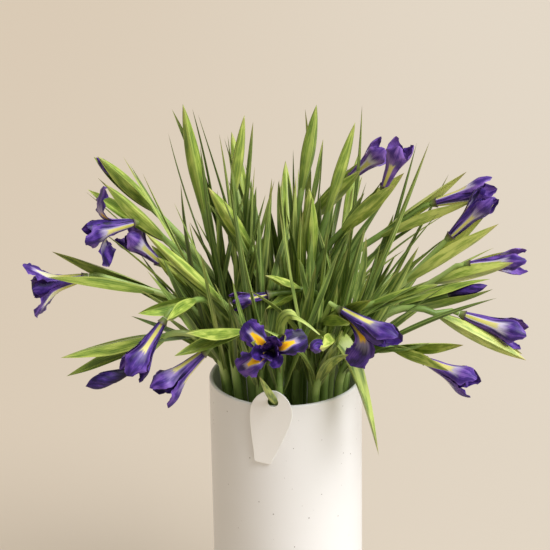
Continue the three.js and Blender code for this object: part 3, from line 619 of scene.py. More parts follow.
bunch = {"reach": 60, "spread": 50, "spacing": 14, "footShare": 0.69, "rounds": 80, "lift": 0.3,
         "upright": 110, "kink": 205, "under": 20, "pull": 0.4}
stemSizes = {"radius": 4.0, "neckRadius": 3.1, "pedicelRadius": 2.5, "neck": 8, "seatGap": 0.35, "sides": 12,
             "steps": 13, "budAt": 0.55, "greenAt": 0.4}  # the shares say where in its spathe a stem ends


def mouthUnder(base):
    # where a stem passes the vase's mouth: the lower it leans, the nearer to the wall
    out = math.hypot(base[0], base[1])
    lean = math.degrees(math.atan2(out, base[2] - vaseSizes["height"]))
    r = bunch["reach"] * min(lean / bunch["spread"], 1)
    return np.array([base[0] / out * r, base[1] / out * r, vaseSizes["height"]])


def settle(places):
    # the stems push each other apart in the mouth until each has its room
    for _ in range(bunch["rounds"]):
        for i in range(len(places)):
            for j in range(i + 1, len(places)):
                gap = places[i] - places[j]
                length = math.sqrt(gap @ gap)
                short = bunch["spacing"] - length
                if short > 0:
                    gap *= short / 2 / length
                    places[i] += gap
                    places[j] -= gap
        for p in places:
            r = math.hypot(p[0], p[1])
            if r > bunch["reach"]:
                p[:2] *= bunch["reach"] / r
    return places


def stemInside(mouth, z):
    # place of a stem in the vase at the height z
    rise = max(0, (z - bunch["upright"]) / (vaseSizes["height"] - bunch["upright"]))
    share = bunch["footShare"] + (1 - bunch["footShare"]) * rise
    return np.array([mouth[0] * share, mouth[1] * share, z])


def bezierPoint(points, t):
    # point and direction on a quadratic or cubic curve
    p = [np.asarray(q, float) for q in points]
    t = np.asarray(t, float)[..., None]
    line = p
    while len(line) > 2:
        line = [a * (1 - t) + b * t for a, b in zip(line, line[1:])]
    return line[0] * (1 - t) + line[1] * t, unit(line[1] - line[0])


def stemCurve(mouth, iris):
    base = vec(iris["base"])
    aim = unit(vec(iris["tip"]) - base)
    leave = unit(mouth - stemInside(mouth, vaseSizes["height"] - bunch["under"]))
    pull = bunch["pull"]
    reach = np.linalg.norm(mouth - base)
    return [mouth, mouth + leave * pull * reach, base - aim * pull * reach, base]


mouths = settle([mouthUnder(iris["base"]) for iris in irises])
curves = [stemCurve(mouth, iris) for mouth, iris in zip(mouths, irises)]


def headFrames(iris):
    # directions of the spathe and of the petals, and the spathe's length
    base = vec(iris["base"])
    spine = vec(iris["tip"]) - base
    spathe = frameAt(base, spine, iris["turn"])
    if iris["at"]:
        petals = frameAt(vec(iris["at"]), vec(iris["look"]), iris["roll"])
    else:
        petals = frameAt(base + spine * stemSizes["budAt"], spine, iris["turn"])
    return spathe, petals, float(np.linalg.norm(spine))


# Stems: Geometry Nodes sweep a round section along each stem's path

def stemTree():
    tree = bpy.data.node_groups.new("swept_stem", "GeometryNodeTree")
    for name, kind in (("Path", "Geometry"), ("Sides", "Int"), ("Skin", "Material")):
        tree.interface.new_socket(name, in_out="INPUT", socket_type="NodeSocket" + kind)
    tree.interface.new_socket("Stem", in_out="OUTPUT", socket_type="NodeSocketGeometry")
    add = partial(addNode, tree)
    given = add("NodeGroupInput").node.outputs
    curve = add("GeometryNodeMeshToCurve", {"Mesh": given["Path"]})
    girth = add("GeometryNodeInputNamedAttribute", {"Name": "girth"}, data_type="FLOAT")
    ring = add("GeometryNodeCurvePrimitiveCircle", {"Radius": 1.0, "Resolution": given["Sides"]})
    swept = add("GeometryNodeCurveToMesh", {"Curve": curve, "Profile Curve": ring, "Scale": girth,
                                            "Fill Caps": True})
    real = add("GeometryNodeRealizeInstances", {"Geometry": swept})
    add("NodeGroupOutput", {0: add("GeometryNodeSetMaterial", {"Geometry": real, "Material": given["Skin"]})})
    return tree


sweep = stemTree()


def sweptTube(points, radii, sides, slot, **marks):
    # the evaluated result of the node tree, as a closed shell
    path = bpy.data.meshes.new("path")
    path.from_pydata((points * mm).tolist(), [(i, i + 1) for i in range(len(points) - 1)], [])
    path.attributes.new("girth", "FLOAT", "POINT").data.foreach_set("value", np.asarray(radii, float) * mm)
    carrier = bpy.data.objects.new("path", path)
    bpy.context.scene.collection.objects.link(carrier)
    modifier = carrier.modifiers.new("sweep", "NODES")
    modifier.node_group = sweep
    sockets = {s.name: s.identifier for s in sweep.interface.items_tree if s.in_out == "INPUT"}
    modifier[sockets["Sides"]] = sides
    modifier[sockets["Skin"]] = stemGreen
    carrier.update_tag()
    made = bpy.data.meshes.new_from_object(carrier.evaluated_get(bpy.context.evaluated_depsgraph_get()))
    carrier.modifiers.remove(modifier)
    vertices = np.empty(len(made.vertices) * 3)
    made.vertices.foreach_get("co", vertices)
    faces = [list(face.vertices) for face in made.polygons]
    bpy.data.objects.remove(carrier)
    for mesh in (path, made):
        bpy.data.meshes.remove(mesh)
    vertices = vertices.reshape(-1, 3) / mm
    along = np.repeat(np.linspace(0, 1, len(points)), sides)
    return tally(vertices, outward(vertices, faces), slot, along=along, **marks)


def stemShell(i, slot):
    iris = irises[i]
    spathe, petals, length = headFrames(iris)
    s = stemSizes
    free, _ = bezierPoint(curves[i], np.linspace(0, 1, s["steps"]))
    heights = (vaseSizes["floor"] + bunch["lift"], bunch["upright"], bunch["kink"])
    points = [stemInside(mouths[i], z) for z in heights] + list(free)
    radii = [s["radius"]] * 3 + list(np.linspace(s["radius"], s["neckRadius"], len(free)))
    if iris["kind"] == "green":
        seats = [place(spathe, 0, 0, s["greenAt"] * length)]
    elif iris["kind"] == "bud":
        seats = [place(petals, 0, 0, -s["seatGap"])]
    else:
        seats = [place(petals, 0, 0, z) for z in (-s["neck"], -s["seatGap"])]
    points += seats
    radii += [s["pedicelRadius"]] * len(seats)
    return sweptTube(np.array(points), radii, s["sides"], slot, tone=series(seeds["stem"] + i)())


# Spathes

valve = {
    "keel": [[0, 1.7], [0.22, 7], [0.5, 9.5], [0.8, 8.2], [1, 5]],
    "half": [[0, 1.6], [0.1, 3.8], [0.22, 5.7], [0.5, 7.3], [0.8, 4.5], [0.93, 1.8], [1, 0]],
    "cup": [[0, 0.3], [0.22, 5.4], [0.5, 7.4], [0.8, 3.6], [1, 0]],
    "spread": 11, "thick": 0.9, "thinning": 0.5, "cupPower": 1.15, "stations": 26, "across": 11,
    # one valve is painted lighter and the other darker, as light and shade on the two sides
    "sideLightAndShade": 0.12,
}
closedSpathe = {
    "keel": [[0, 3.0], [0.2, 5.2], [0.45, 7.2], [0.78, 4.6], [0.93, 1.8], [1, 0]],
    "half": [[0, 2.8], [0.2, 4.4], [0.45, 5.6], [0.78, 3.4], [0.93, 1.3], [1, 0]],
    "ridge": 0.5, "ridgeAt": 0.15, "ridgeWidth": 0.12, "lens": 1.6, "flank": 1.2,
    "sides": 24, "stations": 24,
}


def valveShell(f, length, side, spread, slot, tone):
    t = np.linspace(0, 1, valve["stations"])
    keel = rounded(valve["keel"], t) + spread * t * t
    half = rounded(valve["half"], t)
    s = np.linspace(-1, 1, valve["across"])
    lift = rounded(valve["cup"], t)[:, None] * np.abs(s) ** valve["cupPower"]
    centre = place(f, side * keel, 0 * t, t * length)
    normal = np.broadcast_to(-side * f["u"], centre.shape)
    across = np.broadcast_to(f["v"], centre.shape)
    thick = valve["thick"] * (1 - valve["thinning"] * t)
    return blade(centre, across, normal, half, lift, thick, slot, tone)


def closedShell(f, length, slot, tone):
    # both valves lie on each other; a low ridge shows where their edges meet
    c = closedSpathe
    t = np.linspace(0, 1, c["stations"])
    keel, half = rounded(c["keel"], t), rounded(c["half"], t)
    a = np.linspace(0, 2 * math.pi, c["sides"], endpoint=False)
    lens = np.sign(np.cos(a)) * np.abs(np.cos(a)) ** c["lens"]
    flank = np.sign(np.sin(a)) * np.abs(np.sin(a)) ** c["flank"]
    ridge = c["ridge"] * np.exp(-((np.cos(a) - c["ridgeAt"]) / c["ridgeWidth"]) ** 2)
    rings = np.stack([place(f, k * lens, (h + ridge * min(1, h / 3)) * flank, np.full(len(a), x * length))
                      for k, h, x in zip(keel, half, t)])[:-1]
    marks = pointedMarks(np.abs(np.sin(a)) * np.sign(np.cos(a)), t)
    return pointedShell(rings, place(f, 0, 0, length), slot, tone=tone, upper=0.8, **marks)


# Leaves

bladeSizes = {"thick": 0.9, "thinning": 0.6, "turn": 70, "bow": 0.42, "lean": 0.3, "off": 1.4, "cup": 0.6,
              "cupPower": 1.3, "stations": 26, "across": 7, "wider": 1.15, "margin": 1, "start": (0.05, 0.3)}
leafTips = [  # leaves seen one by one in the photograph: the point and the width of each
    (-109, 40, 538, 3), (-80, 50, 553, 3), (-78, 20, 532, 5), (-96, -20, 508, 7), (-102, -40, 496, 3),
    (-59, 0, 550, 4), (-55, 30, 535, 3), (-52, 45, 534, 3), (-42, 20, 574, 6), (-26, 0, 517, 3),
    (-49, -30, 508, 5), (-3, -55, 523, 7), (-12, 30, 483, 3), (11, 45, 518, 3), (39, 10, 536, 4),
    (31, 50, 504, 3), (62, 60, 540, 4), (-4, -70, 501, 4), (-77, -80, 461, 3), (-40, -70, 469, 6),
    (77, 30, 566, 4), (119, 40, 529, 3), (129, 20, 531, 3), (139, -10, 542, 4), (159, 0, 506, 8),
    (139, -30, 497, 5), (80, -10, 503, 3), (146, -40, 482, 4), (160, 20, 459, 5), (205, 10, 426, 4),
    (127, -50, 452, 8), (200, -60, 402, 4), (158, -40, 410, 3), (-151, 10, 525, 6), (-147, 30, 511, 6),
    (-132, -10, 515, 4), (-190, 20, 487, 4), (-178, -20, 465, 3), (-216, -40, 339, 3),
]
fill = {"each": 2, "start": (0.04, 0.34), "out": (30, 150), "top": 505, "slope": 0.5, "drop": 90, "fan": 1.7,
        "width": (5, 9)}
drift = {"way": (0, 1, -0.404), "step": 9, "steps": 7, "near": 0.15}
rimLeaves = [  # through the tag, over the rim at the right, and curled behind the open flower
    {"iris": 7, "start": (-8.2, -57.6, 291.5), "bend": (-12.6, -84, 304.5), "tip": (-24.8, -103, 345),
     "width": 7, "turn": 0, "tone": 0.9},
    {"iris": 9, "start": (26, -33.5, 334), "bend": (46, -67, 413.5), "tip": (87, -100, 259),
     "width": 24, "turn": -50, "tone": 1.0},
    {"iris": 7, "start": (-6, -60, 328), "bend": (-17, -70, 434), "tip": (38, -97, 377),
     "width": 8, "turn": 40, "tone": 1.1},
]


def bladeAlong(points, across, width, turn, slot, tone):
    t = np.linspace(0, 1, bladeSizes["stations"])
    width = bladeSizes["wider"] * width + bladeSizes["margin"]
    centre, tangent = bezierPoint(points, t)
    half = rounded([[0, 1.5], [0.12, 0.36 * width + 0.4], [0.3, width / 2], [0.72, 0.4 * width],
                    [0.9, 0.2 * width], [1, 0]], t)
    side = unit(across - tangent * (tangent @ across)[:, None])
    a = np.radians(turn * t)[:, None]
    side = side * np.cos(a) + np.cross(tangent, side) * np.sin(a)
    normal = np.cross(side, tangent)
    s = np.linspace(-1, 1, bladeSizes["across"])
    lift = bladeSizes["cup"] * half[:, None] * np.abs(s) ** bladeSizes["cupPower"]
    thick = bladeSizes["thick"] * (1 - bladeSizes["thinning"] * t)
    return blade(centre, side, normal, half, lift, thick, slot, tone)


def leafShell(i, start, tip, width, turn, slot, tone):
    # a leaf from the place start on a stem to its tip: it leaves along the stem and bows out
    root, tangent = bezierPoint(curves[i], start)
    lean = tip - root
    lean = unit(lean - tangent * (lean @ tangent))
    first = root + lean * bladeSizes["off"]
    leave = unit(tangent + lean * bladeSizes["lean"])
    bend = first + leave * bladeSizes["bow"] * np.linalg.norm(first - tip)
    return bladeAlong([first, bend, tip], np.cross(tangent, lean), width, turn, slot, tone)


def solidTrees():
    # the points of each stem's solid, to look up
    trees = []
    for i in range(len(irises)):
        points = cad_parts[f"iris_{i + 1:02d}_stem"].data.vertices
        tree = kdtree.KDTree(len(points))
        for n, point in enumerate(points):
            tree.insert(point.co, n)
        tree.balance()
        trees.append(tree)
    return trees


stemTrees = solidTrees()
leaves = [[] for _ in irises]


def putLeaf(start, tip, width, turn):
    # a solid leaf may stand a few steps off this tip; it belongs to the stem whose solid has a point there
    for k in range(drift["steps"]):
        shift = drift["step"] * math.ceil(k / 2) * (1 if k % 2 else -1)
        end = tip + vec(drift["way"]) * shift
        for i, tree in enumerate(stemTrees):
            if tree.find(Vector(end * mm))[2] < drift["near"] * mm:
                leaves[i].append((start, end, width, turn))
                return 1
    return 0


placed = 0
for n, (x, y, z, width) in enumerate(leafTips):
    draw = series(seeds["leafTips"] + n)
    start = within(bladeSizes["start"], draw)
    placed += putLeaf(start, vec([x, y, z]), width, bladeSizes["turn"] * (2 * draw() - 1))
for i, iris in enumerate(irises):
    draw = series(seeds["fill"] + i)
    for _ in range(fill["each"]):
        start = within(fill["start"], draw)
        angle = math.atan2(iris["base"][1], iris["base"][0]) + fill["fan"] * (draw() - 0.5)
        out = within(fill["out"], draw)
        high = fill["top"] - fill["slope"] * out - fill["drop"] * draw()
        width = within(fill["width"], draw)
        tip = np.array([out * math.cos(angle), out * math.sin(angle), high])
        placed += putLeaf(start, tip, width, bladeSizes["turn"] * (2 * draw() - 1))
print("leaves found in the solids:", placed)

# Leaves that fill the bunch between those of the solids; none hides a flower from in front of it
inner = {"each": 5, "shortest": 80, "start": (0.05, 0.5), "fan": 1.5, "out": (8, 165), "outPower": 1.3,
         "top": 525, "slope": 0.5, "drop": 120, "dropPower": 1.5, "low": 355, "flatten": 0.8,
         "width": (5, 10), "aside": 0.8, "turn": 110}
hugging = {"each": 2, "shortest": 0, "start": (0.45, 0.75), "reach": (0.45, 1.05), "aside": (7, 15),
           "width": (5, 8.5)}
sight = {"way": (0, 0.927, -0.375), "backFrom": 60, "flowerAt": 34, "flowerRoom": 25, "budAt": 18,
         "budRoom": 9, "behind": 8}


def bloomPlaces():
    # the middle of each flower and bud, and the room that it needs
    made = []
    for iris in irises:
        f = headFrames(iris)[1]
        if iris["kind"] == "flower":
            size = iris["size"]
            made.append((place(f, 0, 0, sight["flowerAt"] * size), sight["flowerRoom"] * size))
        elif iris["kind"] == "bud":
            made.append((place(f, 0, 0, sight["budAt"]), sight["budRoom"]))
    return made


def hides(points, blooms):
    for centre, room in blooms:
        way = np.array(sight["way"]) * (1 if centre[1] < sight["backFrom"] else -1)
        gap = points - centre
        depth = gap @ way
        beside = np.linalg.norm(gap - depth[:, None] * way, axis=1)
        if np.any((beside < room) & (depth < sight["behind"])):
            return True
    return False


blooms = bloomPlaces()
added = 0
for i, iris in enumerate(irises):
    draw = series(seeds["inner"] + i)
    spathe, _, length = headFrames(iris)
    for k in range(inner["each"] + hugging["each"]):
        part = inner if k < inner["each"] else hugging
        start, width = within(part["start"], draw), within(part["width"], draw)
        turn = inner["turn"] * (2 * draw() - 1)
        root, tangent = bezierPoint(curves[i], start)
        if part is inner:
            angle = math.atan2(root[1], root[0]) + inner["fan"] * (draw() - 0.5)
            out = inner["out"][0] + (inner["out"][1] - inner["out"][0]) * draw() ** inner["outPower"]
            high = inner["top"] - inner["slope"] * out - inner["drop"] * draw() ** inner["dropPower"]
            tip = np.array([out * math.cos(angle), inner["flatten"] * out * math.sin(angle),
                            max(inner["low"], high)])
        else:
            reach, aside = within(part["reach"], draw), within(part["aside"], draw)
            angle = 2 * math.pi * draw()
            tip = place(spathe, aside * math.cos(angle), aside * math.sin(angle), reach * length)
        points = root + np.linspace(0.15, 1, 9)[:, None] * (tip - root)
        isLong = np.linalg.norm(tip - root) > part["shortest"]
        if isLong and unit(tip - root) @ tangent > inner["aside"] and not hides(points, blooms):
            leaves[i].append((start, tip, width, turn))
            added += 1
print("leaves added between them:", added)

# Flowers

petals = {
    "fall": {
        "azimuth": 0, "length": 64, "start": 2.9, "stations": 30, "across": 15, "slot": 0,
        "half": [[0, 1.6], [0.1, 3.4], [0.2, 4.2], [0.36, 5.2], [0.5, 7.2], [0.64, 11.0], [0.76, 13.0],
                 [0.88, 12.0], [0.95, 9.6], [0.985, 6.4], [1, 0]],
        "ruffle": 1.7, "waves": 5.5, "ragged": 0.13, "point": 0.5,
    },
    "standard": {
        "azimuth": 60, "length": 54, "start": 2.9, "stations": 24, "across": 11, "slot": 1,
        "half": [[0, 1.3], [0.25, 1.9], [0.4, 3.0], [0.6, 6.4], [0.75, 8.6], [0.88, 7.4],
                 [0.96, 4.0], [1, 0]],
        "ruffle": 0.8, "waves": 4, "ragged": 0.1,
    },
    "style": {
        "azimuth": 0, "length": 38, "start": 1.2, "stations": 18, "across": 9, "slot": 2,
        "half": [[0, 1.2], [0.3, 3.6], [0.6, 6.2], [0.82, 6.6], [0.93, 4.4], [1, 0]],
        "ruffle": 0.9, "waves": 3, "ragged": 0.12,
    },
}
petalSizes = {"thick": 0.55, "tubeRadius": 3.2, "throat": 5.2, "tubeLength": 6, "tubeSides": 16,
              "seat": 1.5, "stylesFrom": 0.1, "openSkinFrom": 0.2, "jitter": 6, "twistOver": (0.15, 0.6),
              "crease": 0.05, "creaseWidth": 0.15, "pointOver": (0.76, 0.97),
              "toneVary": 0.5, "toneLight": 0.7}
# How the edge of a petal waves and frays: over which part of its length, how much of it a furled flower has
# at least, and how open a flower is that has it in full; then how many finer waves, and how high they are
ruffle = {"over": (0.45, 0.75), "least": 0.35, "fullAt": 0.5, "finer": 1.9, "finerHigh": 0.5,
          "vary": (0.8, 1.2)}
notches = {"over": (0.5, 0.75), "least": 0.3, "fullAt": 0.4, "coarse": 0.8, "finer": 2.3, "finerHigh": 0.4}
fullTurn = 6.28  # one wave, in radians
crest = {"at": 0.84, "length": 10, "half": 2.6, "out": 24, "lift": 28, "apart": 1.3, "thick": 0.5,
         "stations": 10, "across": 5, "tone": 0.8}
# In degrees: a petal leaves the axis at the angle start, swings out by swing, and by opened more when it is
# wide open, over this share of its length, and tucks in again from a place on
leans = {
    "fall": {"start": 10, "swing": 24, "opened": 95, "over": (0.3, 0.85), "tuck": 0, "from": 0.68},
    "furled": {"start": 8, "swing": 13, "opened": 0, "over": (0.33, 0.6), "tuck": 38, "from": 0.68},
    "standard": {"start": 10, "swing": -12, "opened": 26, "over": (0.15, 0.8), "tuck": 0, "from": 0.8},
    "style": {"start": 7, "swing": 20, "opened": 85, "over": (0.5, 1.45), "tuck": 40, "from": 0.8},
}


def furl(opening):
    # 1 for a closed flower, 0 from a half-open one on
    return 1 - smooth(0.12, 0.4, opening)


def petalAngle(kind, opening, t):
    # how far the petal leans out of the flower's axis, in degrees
    rule = leans[kind]
    swing = (rule["swing"] + rule["opened"] * opening) * smooth(*rule["over"], t)
    angle = rule["start"] + swing - rule["tuck"] * smooth(rule["from"], 1, t)
    if kind == "fall":
        return furl(opening) * petalAngle("furled", opening, t) + (1 - furl(opening)) * angle
    return angle


def petalCup(kind, opening, t):
    # how much the petal is hollowed across, as a share of its half width
    if kind == "fall":
        spread = 0.3 - 0.5 * smooth(0.4, 0.7, t) * min(1, opening / 0.35)
        return furl(opening) * (0.3 + 0.16 * smooth(0.4, 0.6, t)) + (1 - furl(opening)) * spread
    return 0.3 + 0 * t if kind == "standard" else -0.1 + 0 * t


def petalLine(petal, kind, opening, stations):
    # centre line: distance from the axis and height, with the lean at each station
    fine = np.linspace(0, 1, 161)
    lean = np.radians(petalAngle(kind, opening, (fine[1:] + fine[:-1]) / 2))
    step = petal["length"] / (len(fine) - 1)
    out = petal["start"] + np.concatenate([[0], np.cumsum(np.sin(lean) * step)])
    high = petalSizes["seat"] + np.concatenate([[0], np.cumsum(np.cos(lean) * step)])
    return (np.interp(stations, fine, out), np.interp(stations, fine, high),
            np.radians(petalAngle(kind, opening, stations)))


def petalShell(f, kind, turn, opening, iris, key, twist=0):
    petal, size = petals[kind], iris["size"]
    draw = series(key)
    t = np.linspace(0, 1, petal["stations"]) ** 0.9
    out, high, lean = petalLine(petal, kind, opening, t)
    e = spoke(f, turn)
    centre = f["o"] + e * (size * out)[:, None] + f["w"] * (size * high)[:, None]
    normal = -e * np.cos(lean)[:, None] + f["w"] * np.sin(lean)[:, None]
    side = np.broadcast_to(np.cross(f["w"], e), centre.shape)
    a = math.radians(twist) * smooth(*petalSizes["twistOver"], t)[:, None]
    side, normal = side * np.cos(a) + normal * np.sin(a), normal * np.cos(a) - side * np.sin(a)
    half = size * iris["girth"] * rounded(petal["half"], t)
    if kind == "fall":
        # a furled fall ends in a point
        half = half * (1 - petal["point"] * furl(opening) * smooth(*petalSizes["pointOver"], t))
    s = np.linspace(-1, 1, petal["across"])
    lift = (half * petalCup(kind, opening, t))[:, None] * s**2
    grow = petal["ruffle"] * size * smooth(*ruffle["over"], t)
    grow = grow * partly(ruffle["least"], opening / ruffle["fullAt"])
    fray = petal["ragged"] * partly(notches["least"], opening / notches["fullAt"])
    fray = fray * smooth(*notches["over"], t)
    stretch = np.ones((len(t), len(s)))
    for sign in (-1, 1):
        phase, waves = fullTurn * draw(), petal["waves"] * within(ruffle["vary"], draw)
        turns = fullTurn * waves * t
        wave = np.sin(turns + phase) + ruffle["finerHigh"] * np.sin(ruffle["finer"] * turns + 2 * phase)
        lift = lift + np.where(sign * s > 0, (grow * wave)[:, None] * s**4, 0)
        notch = np.sin(notches["coarse"] * turns + 3 * phase)
        notch = notch + notches["finerHigh"] * np.sin(notches["finer"] * turns + phase)
        stretch = stretch + np.where(sign * s > 0, (fray * notch)[:, None] * s**4, 0)
    # a shallow crease down the middle of the limb
    crease = petalSizes["crease"] * half * smooth(0.5, 0.8, t)
    lift = lift - crease[:, None] * np.exp(-(s / petalSizes["creaseWidth"]) ** 2)
    thick = petalSizes["thick"] * (1.6 - 0.9 * t)
    tone = petalSizes["toneVary"] * draw() + petalSizes["toneLight"] * iris["light"] - 0.1
    made = blade(centre, side, normal, half, lift, thick, petal["slot"], tone, stretch)
    made["marks"]["pale"] = iris["pale"]
    return made


def crestShells(f, turn, opening, size, slot):
    # the two upturned lobes at the end of a style arm
    petal = petals["style"]
    out, high, lean = (float(n[0]) for n in petalLine(petal, "style", opening, np.array([crest["at"]])))
    e = spoke(f, turn)
    across = np.cross(f["w"], e)
    root = f["o"] + e * size * out + f["w"] * size * high
    ahead = e * math.sin(lean) + f["w"] * math.cos(lean)
    rise = -e * math.cos(lean) + f["w"] * math.sin(lean)
    made = []
    for sign in (-1, 1):
        t = np.linspace(0, 1, crest["stations"])
        swing, tilt = math.radians(sign * crest["out"]), math.radians(crest["lift"]) * (0.4 + 0.6 * t)
        level = ahead * math.cos(swing) + across * math.sin(swing)
        way = level * np.cos(tilt)[:, None] + rise * np.sin(tilt)[:, None]
        first = root + across * sign * crest["apart"] * size
        centre = first + np.cumsum(way, axis=0) * size * crest["length"] / len(t)
        side = np.broadcast_to(np.cross(rise, level), centre.shape)
        normal = np.cross(side, -way)
        half = size * crest["half"] * rounded([[0, 0.7], [0.4, 1], [0.8, 0.7], [1, 0]], t)
        lift = 0.3 * half[:, None] * np.linspace(-1, 1, crest["across"]) ** 2
        thick = np.full(len(t), crest["thick"])
        made.append(blade(centre, side, normal, half, lift, thick, slot, crest["tone"]))
    return made


def flowerShells(i):
    iris, p = irises[i], petalSizes
    f = headFrames(iris)[1]
    draw = series(seeds["flower"] + i)
    reach = np.linspace(0, p["tubeLength"], 5)
    girth = p["tubeRadius"] + (p["throat"] - p["tubeRadius"]) * (reach / reach[-1]) ** 1.5
    shells = [sweptTube(place(f, 0 * reach, 0 * reach, reach), girth, p["tubeSides"], 3)]
    kinds = ["fall", "standard"] + (["style"] if iris["opening"] > p["stylesFrom"] else [])
    for kind in kinds:
        azimuth, slot = petals[kind]["azimuth"], petals[kind]["slot"]
        for k in range(3):
            turn, opened, twist = azimuth + 120 * k, iris["opening"], 0
            if kind == "fall":
                turn, opened, twist = iris["turns"][k], iris["falls"][k], iris["twists"][k]
            turn = turn + p["jitter"] * (draw() - 0.5)
            opened = opened * (0.85 + 0.3 * draw())
            key = seeds["petals"] + 20 * i + 7 * kinds.index(kind) + k
            shells.append(petalShell(f, kind, turn, opened, iris, key, twist))
            if kind == "style":
                shells += crestShells(f, turn, opened, iris["size"], slot)
    return shells


furled = {"radius": [[0, 2.2], [0.25, 3.6], [0.6, 4.6], [0.85, 3], [1, 0]], "sides": 36, "stations": 28,
          "petals": 3, "folds": 0.16, "wind": 200}


def budShells(i):
    # petals wound into a pointed spindle: three soft folds that turn about it
    iris = irises[i]
    _, f, length = headFrames(iris)
    reach = (1 - stemSizes["budAt"]) * length + iris["over"]
    t = np.linspace(0, 1, furled["stations"]) ** 0.8
    radius = rounded(furled["radius"], t)
    a = np.linspace(0, 2 * math.pi, furled["sides"], endpoint=False)
    rings, folds = [], []
    for r, x in zip(radius[:-1], t[:-1]):
        turnedBy = a - math.radians(furled["wind"]) * x
        fold = np.mod(furled["petals"] * turnedBy / (2 * math.pi), 1)
        rr = iris["girth"] * r * (1 + furled["folds"] * (0.5 - fold) * min(1, 3 * x))
        rings.append(place(f, rr * np.cos(a), rr * np.sin(a), np.full(len(a), x * reach)))
        folds.append(2 * fold - 1)
    marks = pointedMarks(np.stack(folds), t)
    # upper is 1 all over the bud, so the painted throat shade darkens its lower half
    return [pointedShell(np.stack(rings), place(f, 0, 0, reach), 0, upper=1.0, tone=iris["light"], **marks)]


for i, iris in enumerate(irises):
    number = f"{i + 1:02d}"
    draw = series(seeds["iris"] + i)
    spathe, _, length = headFrames(iris)
    shells = [stemShell(i, 0)]
    # the spathe's tone: its own freshness, with the spathes on the right set brighter as painted light
    if iris["kind"] == "green":
        shells.append(closedShell(spathe, length, 2, iris["freshAndLit"]))
    else:
        spread = valve["spread"] if iris["at"] else 0
        for side in (1, -1):
            # painted light and shade: one valve lighter, the other darker
            tone = iris["freshAndLit"] + valve["sideLightAndShade"] * side
            shells.append(valveShell(spathe, length, side, spread, 2, tone))
    shells += [leafShell(i, *leaf, 1, draw()) for leaf in leaves[i]]
    for leaf in rimLeaves:
        if leaf["iris"] == i:
            points = [vec(leaf[key]) for key in ("start", "bend", "tip")]
            across = unit(np.cross(points[1] - points[0], up))
            shells.append(bladeAlong(points, across, leaf["width"], leaf["turn"], 1, leaf["tone"]))
    stemPiece = makePiece(f"iris_{number}_green", shells, [stemGreen, leafGreen, spatheGreen])
    dress(stemPiece, f"iris_{number}_stem")
    if iris["kind"] == "flower":
        fallSkin = openFall if iris["opening"] > petalSizes["openSkinFrom"] else furledFall
        skins = [fallSkin, standardVelvet, styleVelvet, tubeSkin]
        bloom = makePiece(f"iris_{number}_petals", flowerShells(i), skins)
        dress(bloom, f"iris_{number}_flower")
    if iris["kind"] == "bud":
        furledBud = makePiece(f"iris_{number}_furled", budShells(i), [budVelvet])
        dress(furledBud, f"iris_{number}_bud")
print("irises made:", len(irises))

# Floor, light and camera, in metres and degrees

studio = {"floor": "#bfb19d", "floorLitSide": "#c8beae", "reach": 14.0, "air": "#fff4ea", "airStrength": 0.33,
          "glow": 0.5, "glowStrength": 1.32}
sun = {"azimuth": 61.0, "height": 52.0, "power": 4.15, "softness": 42.0, "colour": "#f8faff"}
view = {"distance": 2.2, "elevation": 22.0, "roll": -0.97, "target": (-0.0086, 0.0, 0.405),
        "focal": 2277 / 550, "sensor": 36.0, "farthest": 60}  # focal is in widths of the picture


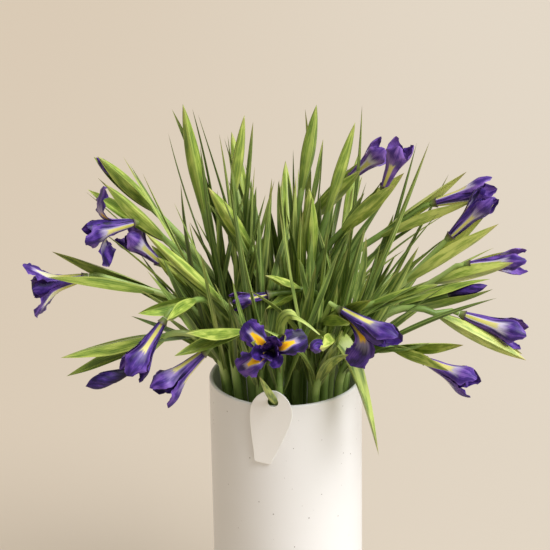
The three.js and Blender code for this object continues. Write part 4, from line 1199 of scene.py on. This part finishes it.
def floorFinish():
    # painted plaster sweep: matt, with a painted pool of light that makes it a little paler towards the
    # lamp's side; a part of its light is its own, which keeps the shadows on it pale
    finish, add = newFinish("matt_plaster_sweep")
    where = add("ShaderNodeTexCoord", out="Object")
    aside = add("ShaderNodeSeparateXYZ", {0: where})
    # painted light: paler towards the lamp's side
    body = tint(add, studio["floor"], studio["floorLitSide"], aside, (-0.6, 0.6), (0.0, 1.0))
    lit = add("ShaderNodeMix", {0: 1 - studio["glow"], 6: "#000000", 7: body}, out=2, data_type="RGBA")
    shade(add, lit, {"Roughness": 0.95, "IOR": 1.45, "Emission Color": body,
                     "Emission Strength": studio["glowStrength"] * studio["glow"]},
          (mottle(add, 4), 0.1, 0.1))
    return finish


floorMesh = bpy.data.meshes.new("studio_floor")
r = studio["reach"]
floorMesh.from_pydata([(-r, -r, 0), (r, -r, 0), (r, r, 0), (-r, r, 0)], [], [(0, 1, 2, 3)])
floorMesh.materials.append(floorFinish())
floor = bpy.data.objects.new("studio_floor", floorMesh)
bpy.context.scene.collection.objects.link(floor)

world = bpy.data.worlds.new("studio_air")
world.use_nodes = True
bpy.context.scene.world = world
world.node_tree.nodes["Background"].inputs[0].default_value = linear(studio["air"])
world.node_tree.nodes["Background"].inputs[1].default_value = studio["airStrength"]

softbox = bpy.data.lights.new("softbox", "SUN")
softbox.energy = sun["power"]
softbox.angle = math.radians(sun["softness"])
softbox.color = linear(sun["colour"])[:3]
aside, rise = math.radians(sun["azimuth"]), math.radians(sun["height"])
towards = Vector((math.sin(aside) * math.cos(rise), -math.cos(aside) * math.cos(rise), math.sin(rise)))
lamp = bpy.data.objects.new("softbox", softbox)
lamp.rotation_euler = towards.to_track_quat("Z", "Y").to_euler()
bpy.context.scene.collection.objects.link(lamp)
bpy.context.scene.view_settings.view_transform = "Standard"

tilt = math.radians(view["elevation"])
away = Vector((0, -math.cos(tilt), math.sin(tilt)))
right = Vector((1, 0, 0))
above = right.cross(-away)
roll = math.radians(view["roll"])
sideways = right * math.cos(roll) + above * math.sin(roll)
upwards = above * math.cos(roll) - right * math.sin(roll)
lens = bpy.data.cameras.new("camera")
lens.sensor_width = view["sensor"]
lens.lens = view["focal"] * view["sensor"]
lens.clip_end = view["farthest"]
camera = bpy.data.objects.new("camera", lens)
camera.matrix_world = Matrix((sideways, upwards, away)).transposed().to_4x4()
camera.location = Vector(view["target"]) + away * view["distance"]
bpy.context.scene.collection.objects.link(camera)
bpy.context.scene.camera = camera
print("floor, light and camera made")
